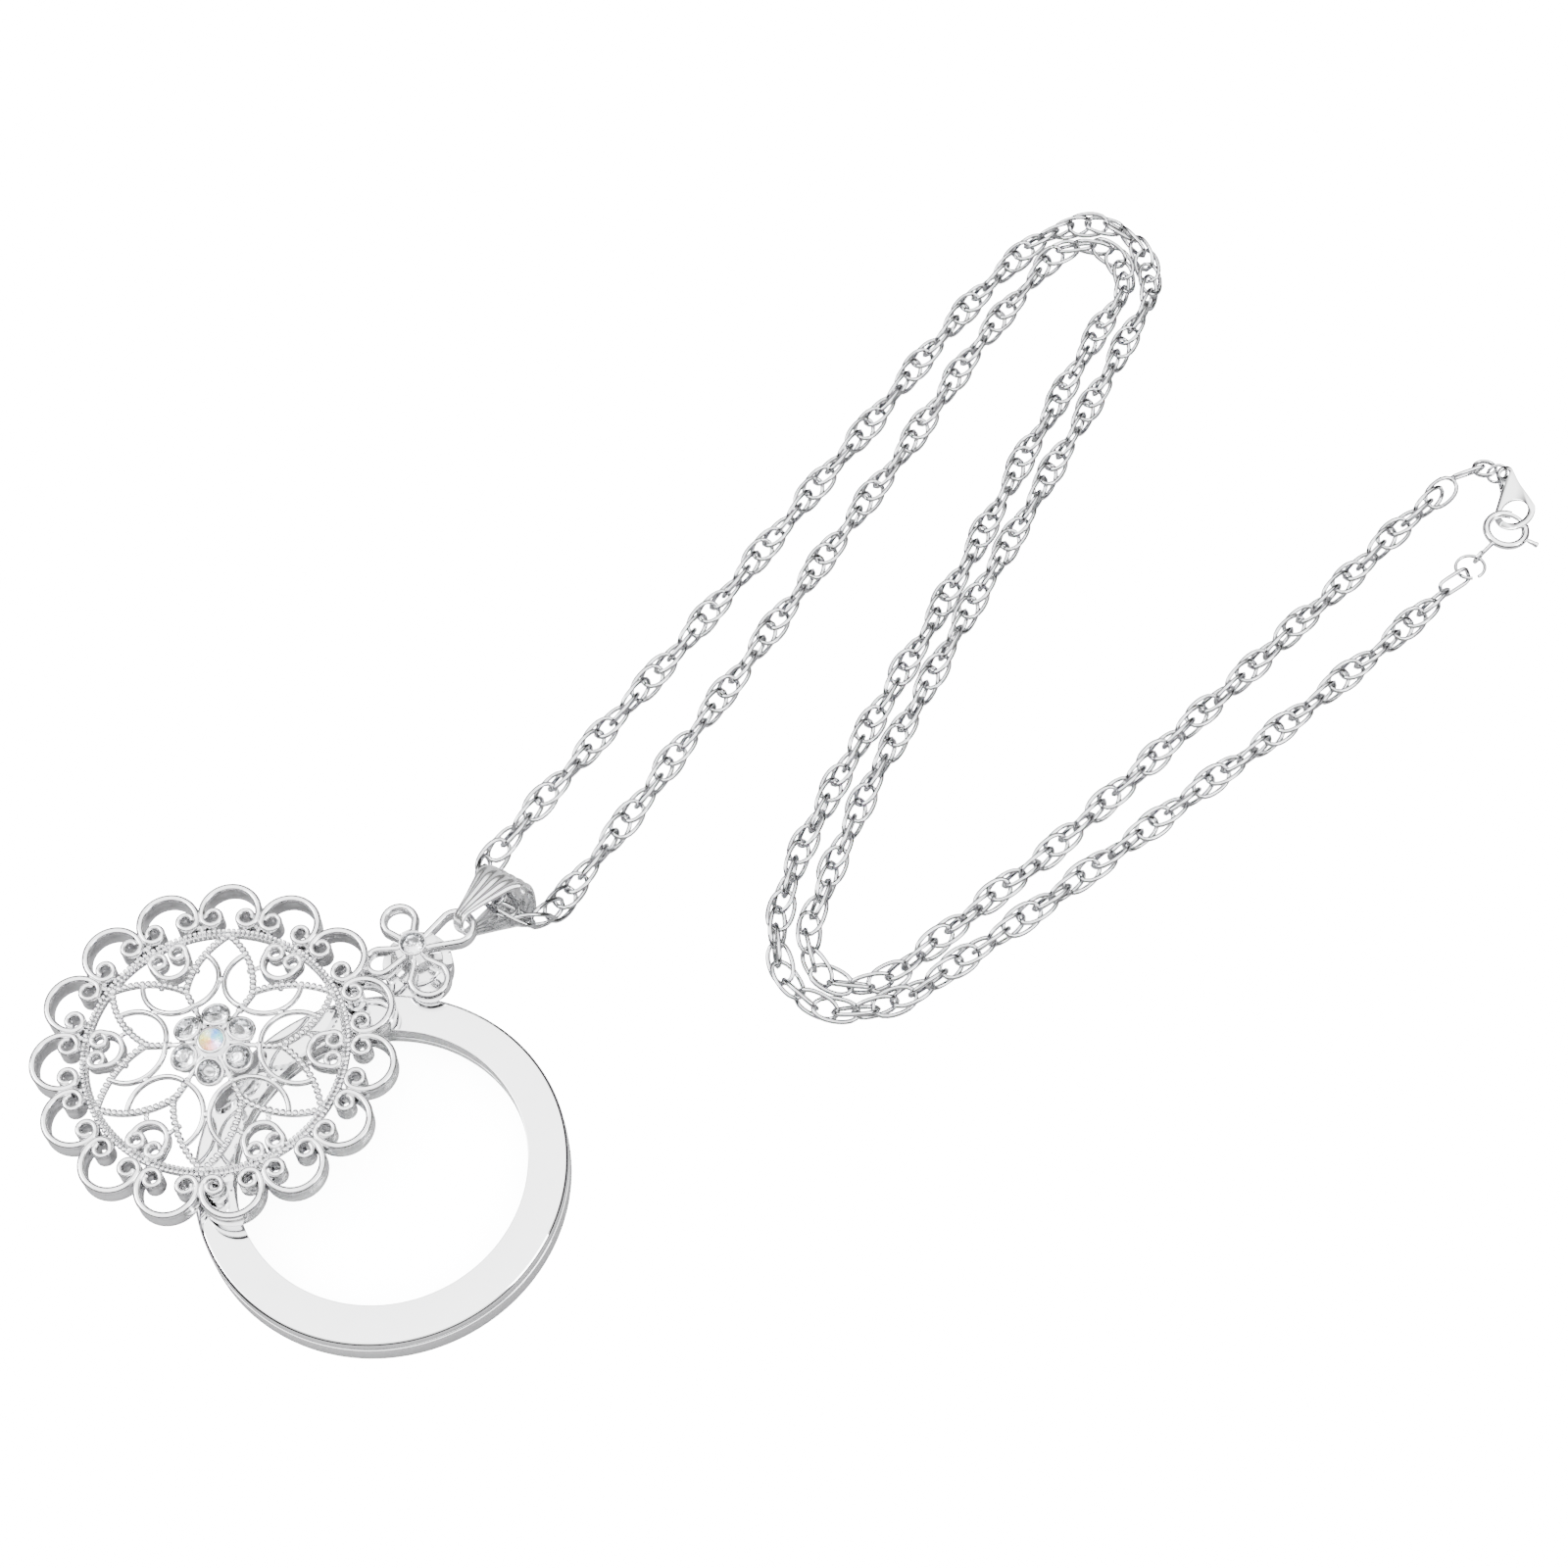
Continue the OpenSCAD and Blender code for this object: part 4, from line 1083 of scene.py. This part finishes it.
# %% [markdown]
# ## Table and light
# The table is a plain pale surface under an evenly white room. Metal only looks like metal when
# there is something to reflect, so what it mirrors is another room: bright overhead, as in a
# light tent, and dark near the horizon, over a darker table. A light path's glossy depth says
# how often a ray has been mirrored, so its minimum with 1 chooses between the two.

# %% Floor
floor_half, white_light = 3, 12.0


def once_mirrored(tree):
    """The smaller of 1 and the glossy depth: 0 for what is seen directly, 1 in a reflection."""
    ray = node(tree, "ShaderNodeLightPath")
    mirrored_ray = node(tree, "ShaderNodeMath", operation="MINIMUM", inputs={1: 1.0})
    tree.links.new(ray.outputs["Glossy Depth"], mirrored_ray.inputs[0])
    return mirrored_ray.outputs[0]


def choice(tree, seen, reflected, output):
    """Sends one shader to what is seen directly, and the other to what metal mirrors."""
    either = node(tree, "ShaderNodeMixShader")
    tree.links.new(once_mirrored(tree), either.inputs[0])
    tree.links.new(seen.outputs[0], either.inputs[1])
    tree.links.new(reflected.outputs[0], either.inputs[2])
    tree.links.new(either.outputs[0], tree.nodes[output].inputs["Surface"])


corners = [(x * floor_half, y * floor_half, 0) for x, y in [(-1, -1), (1, -1), (1, 1), (-1, 1)]]
floor_mesh = bpy.data.meshes.new("table_top")
floor_mesh.from_pydata(corners, [], [(0, 1, 2, 3)])
floor = bpy.data.objects.new("table_top", floor_mesh)
bpy.context.scene.collection.objects.link(floor)
paper = bpy.data.materials.new("paper")
paper.use_nodes = True
sheet = paper.node_tree.nodes["Principled BSDF"]
sheet.inputs["Base Color"].default_value = (0.95, 0.95, 0.95, 1)
sheet.inputs["Roughness"].default_value = 0.9
sheet.inputs["Specular IOR Level"].default_value = 0.1
sheet.inputs["Emission Color"].default_value = (1, 1, 1, 1)
sheet.inputs["Emission Strength"].default_value = white_light
shade = node(paper.node_tree, "ShaderNodeBsdfDiffuse", inputs={"Color": (0.26, 0.26, 0.265, 1)})
choice(paper.node_tree, sheet, shade, "Material Output")
floor_mesh.materials.append(paper)
print("table top made")

# %% Room and lamps
world = bpy.data.worlds.new("room")
bpy.context.scene.world = world
world.use_nodes = True
tree = world.node_tree
coordinate = node(tree, "ShaderNodeTexCoord")
split = node(tree, "ShaderNodeSeparateXYZ")
# Each level: how high a direction points, from 0 for level to 1 for straight up, and its light.
levels = [(0.0, 0.004), (0.50, 0.008), (0.62, 0.3), (0.77, 0.95), (1.0, 1.08)]
ramp = colour_ramp(tree, [(at, (level, level, level)) for at, level in levels])
tree.links.new(coordinate.outputs["Generated"], split.inputs[0])
tree.links.new(split.outputs["Z"], ramp.inputs["Fac"])
tent = tree.nodes["Background"]
tree.links.new(ramp.outputs["Color"], tent.inputs["Color"])
tent.inputs["Strength"].default_value = 4.5
wall = node(tree, "ShaderNodeBackground", inputs={"Color": (1, 1, 1, 1), "Strength": white_light})
choice(tree, wall, tent, "World Output")


def softbox(name, at, aim, size, power):
    """A square area lamp that faces a point."""
    lamp = bpy.data.lights.new(name, "AREA")
    lamp.shape, lamp.size, lamp.energy = "SQUARE", size, power
    obj = bpy.data.objects.new(name, lamp)
    obj.location = at
    obj.rotation_euler = (Vector(aim) - Vector(at)).to_track_quat("-Z", "Y").to_euler()
    bpy.context.scene.collection.objects.link(obj)


lit_point = (0.04, 0.03, 0)
softbox("key", (-0.7, 0.1, 0.7), lit_point, 0.5, 9)
softbox("fill", (0.75, -0.25, 0.65), lit_point, 0.4, 6)
print("room and two lamps made")
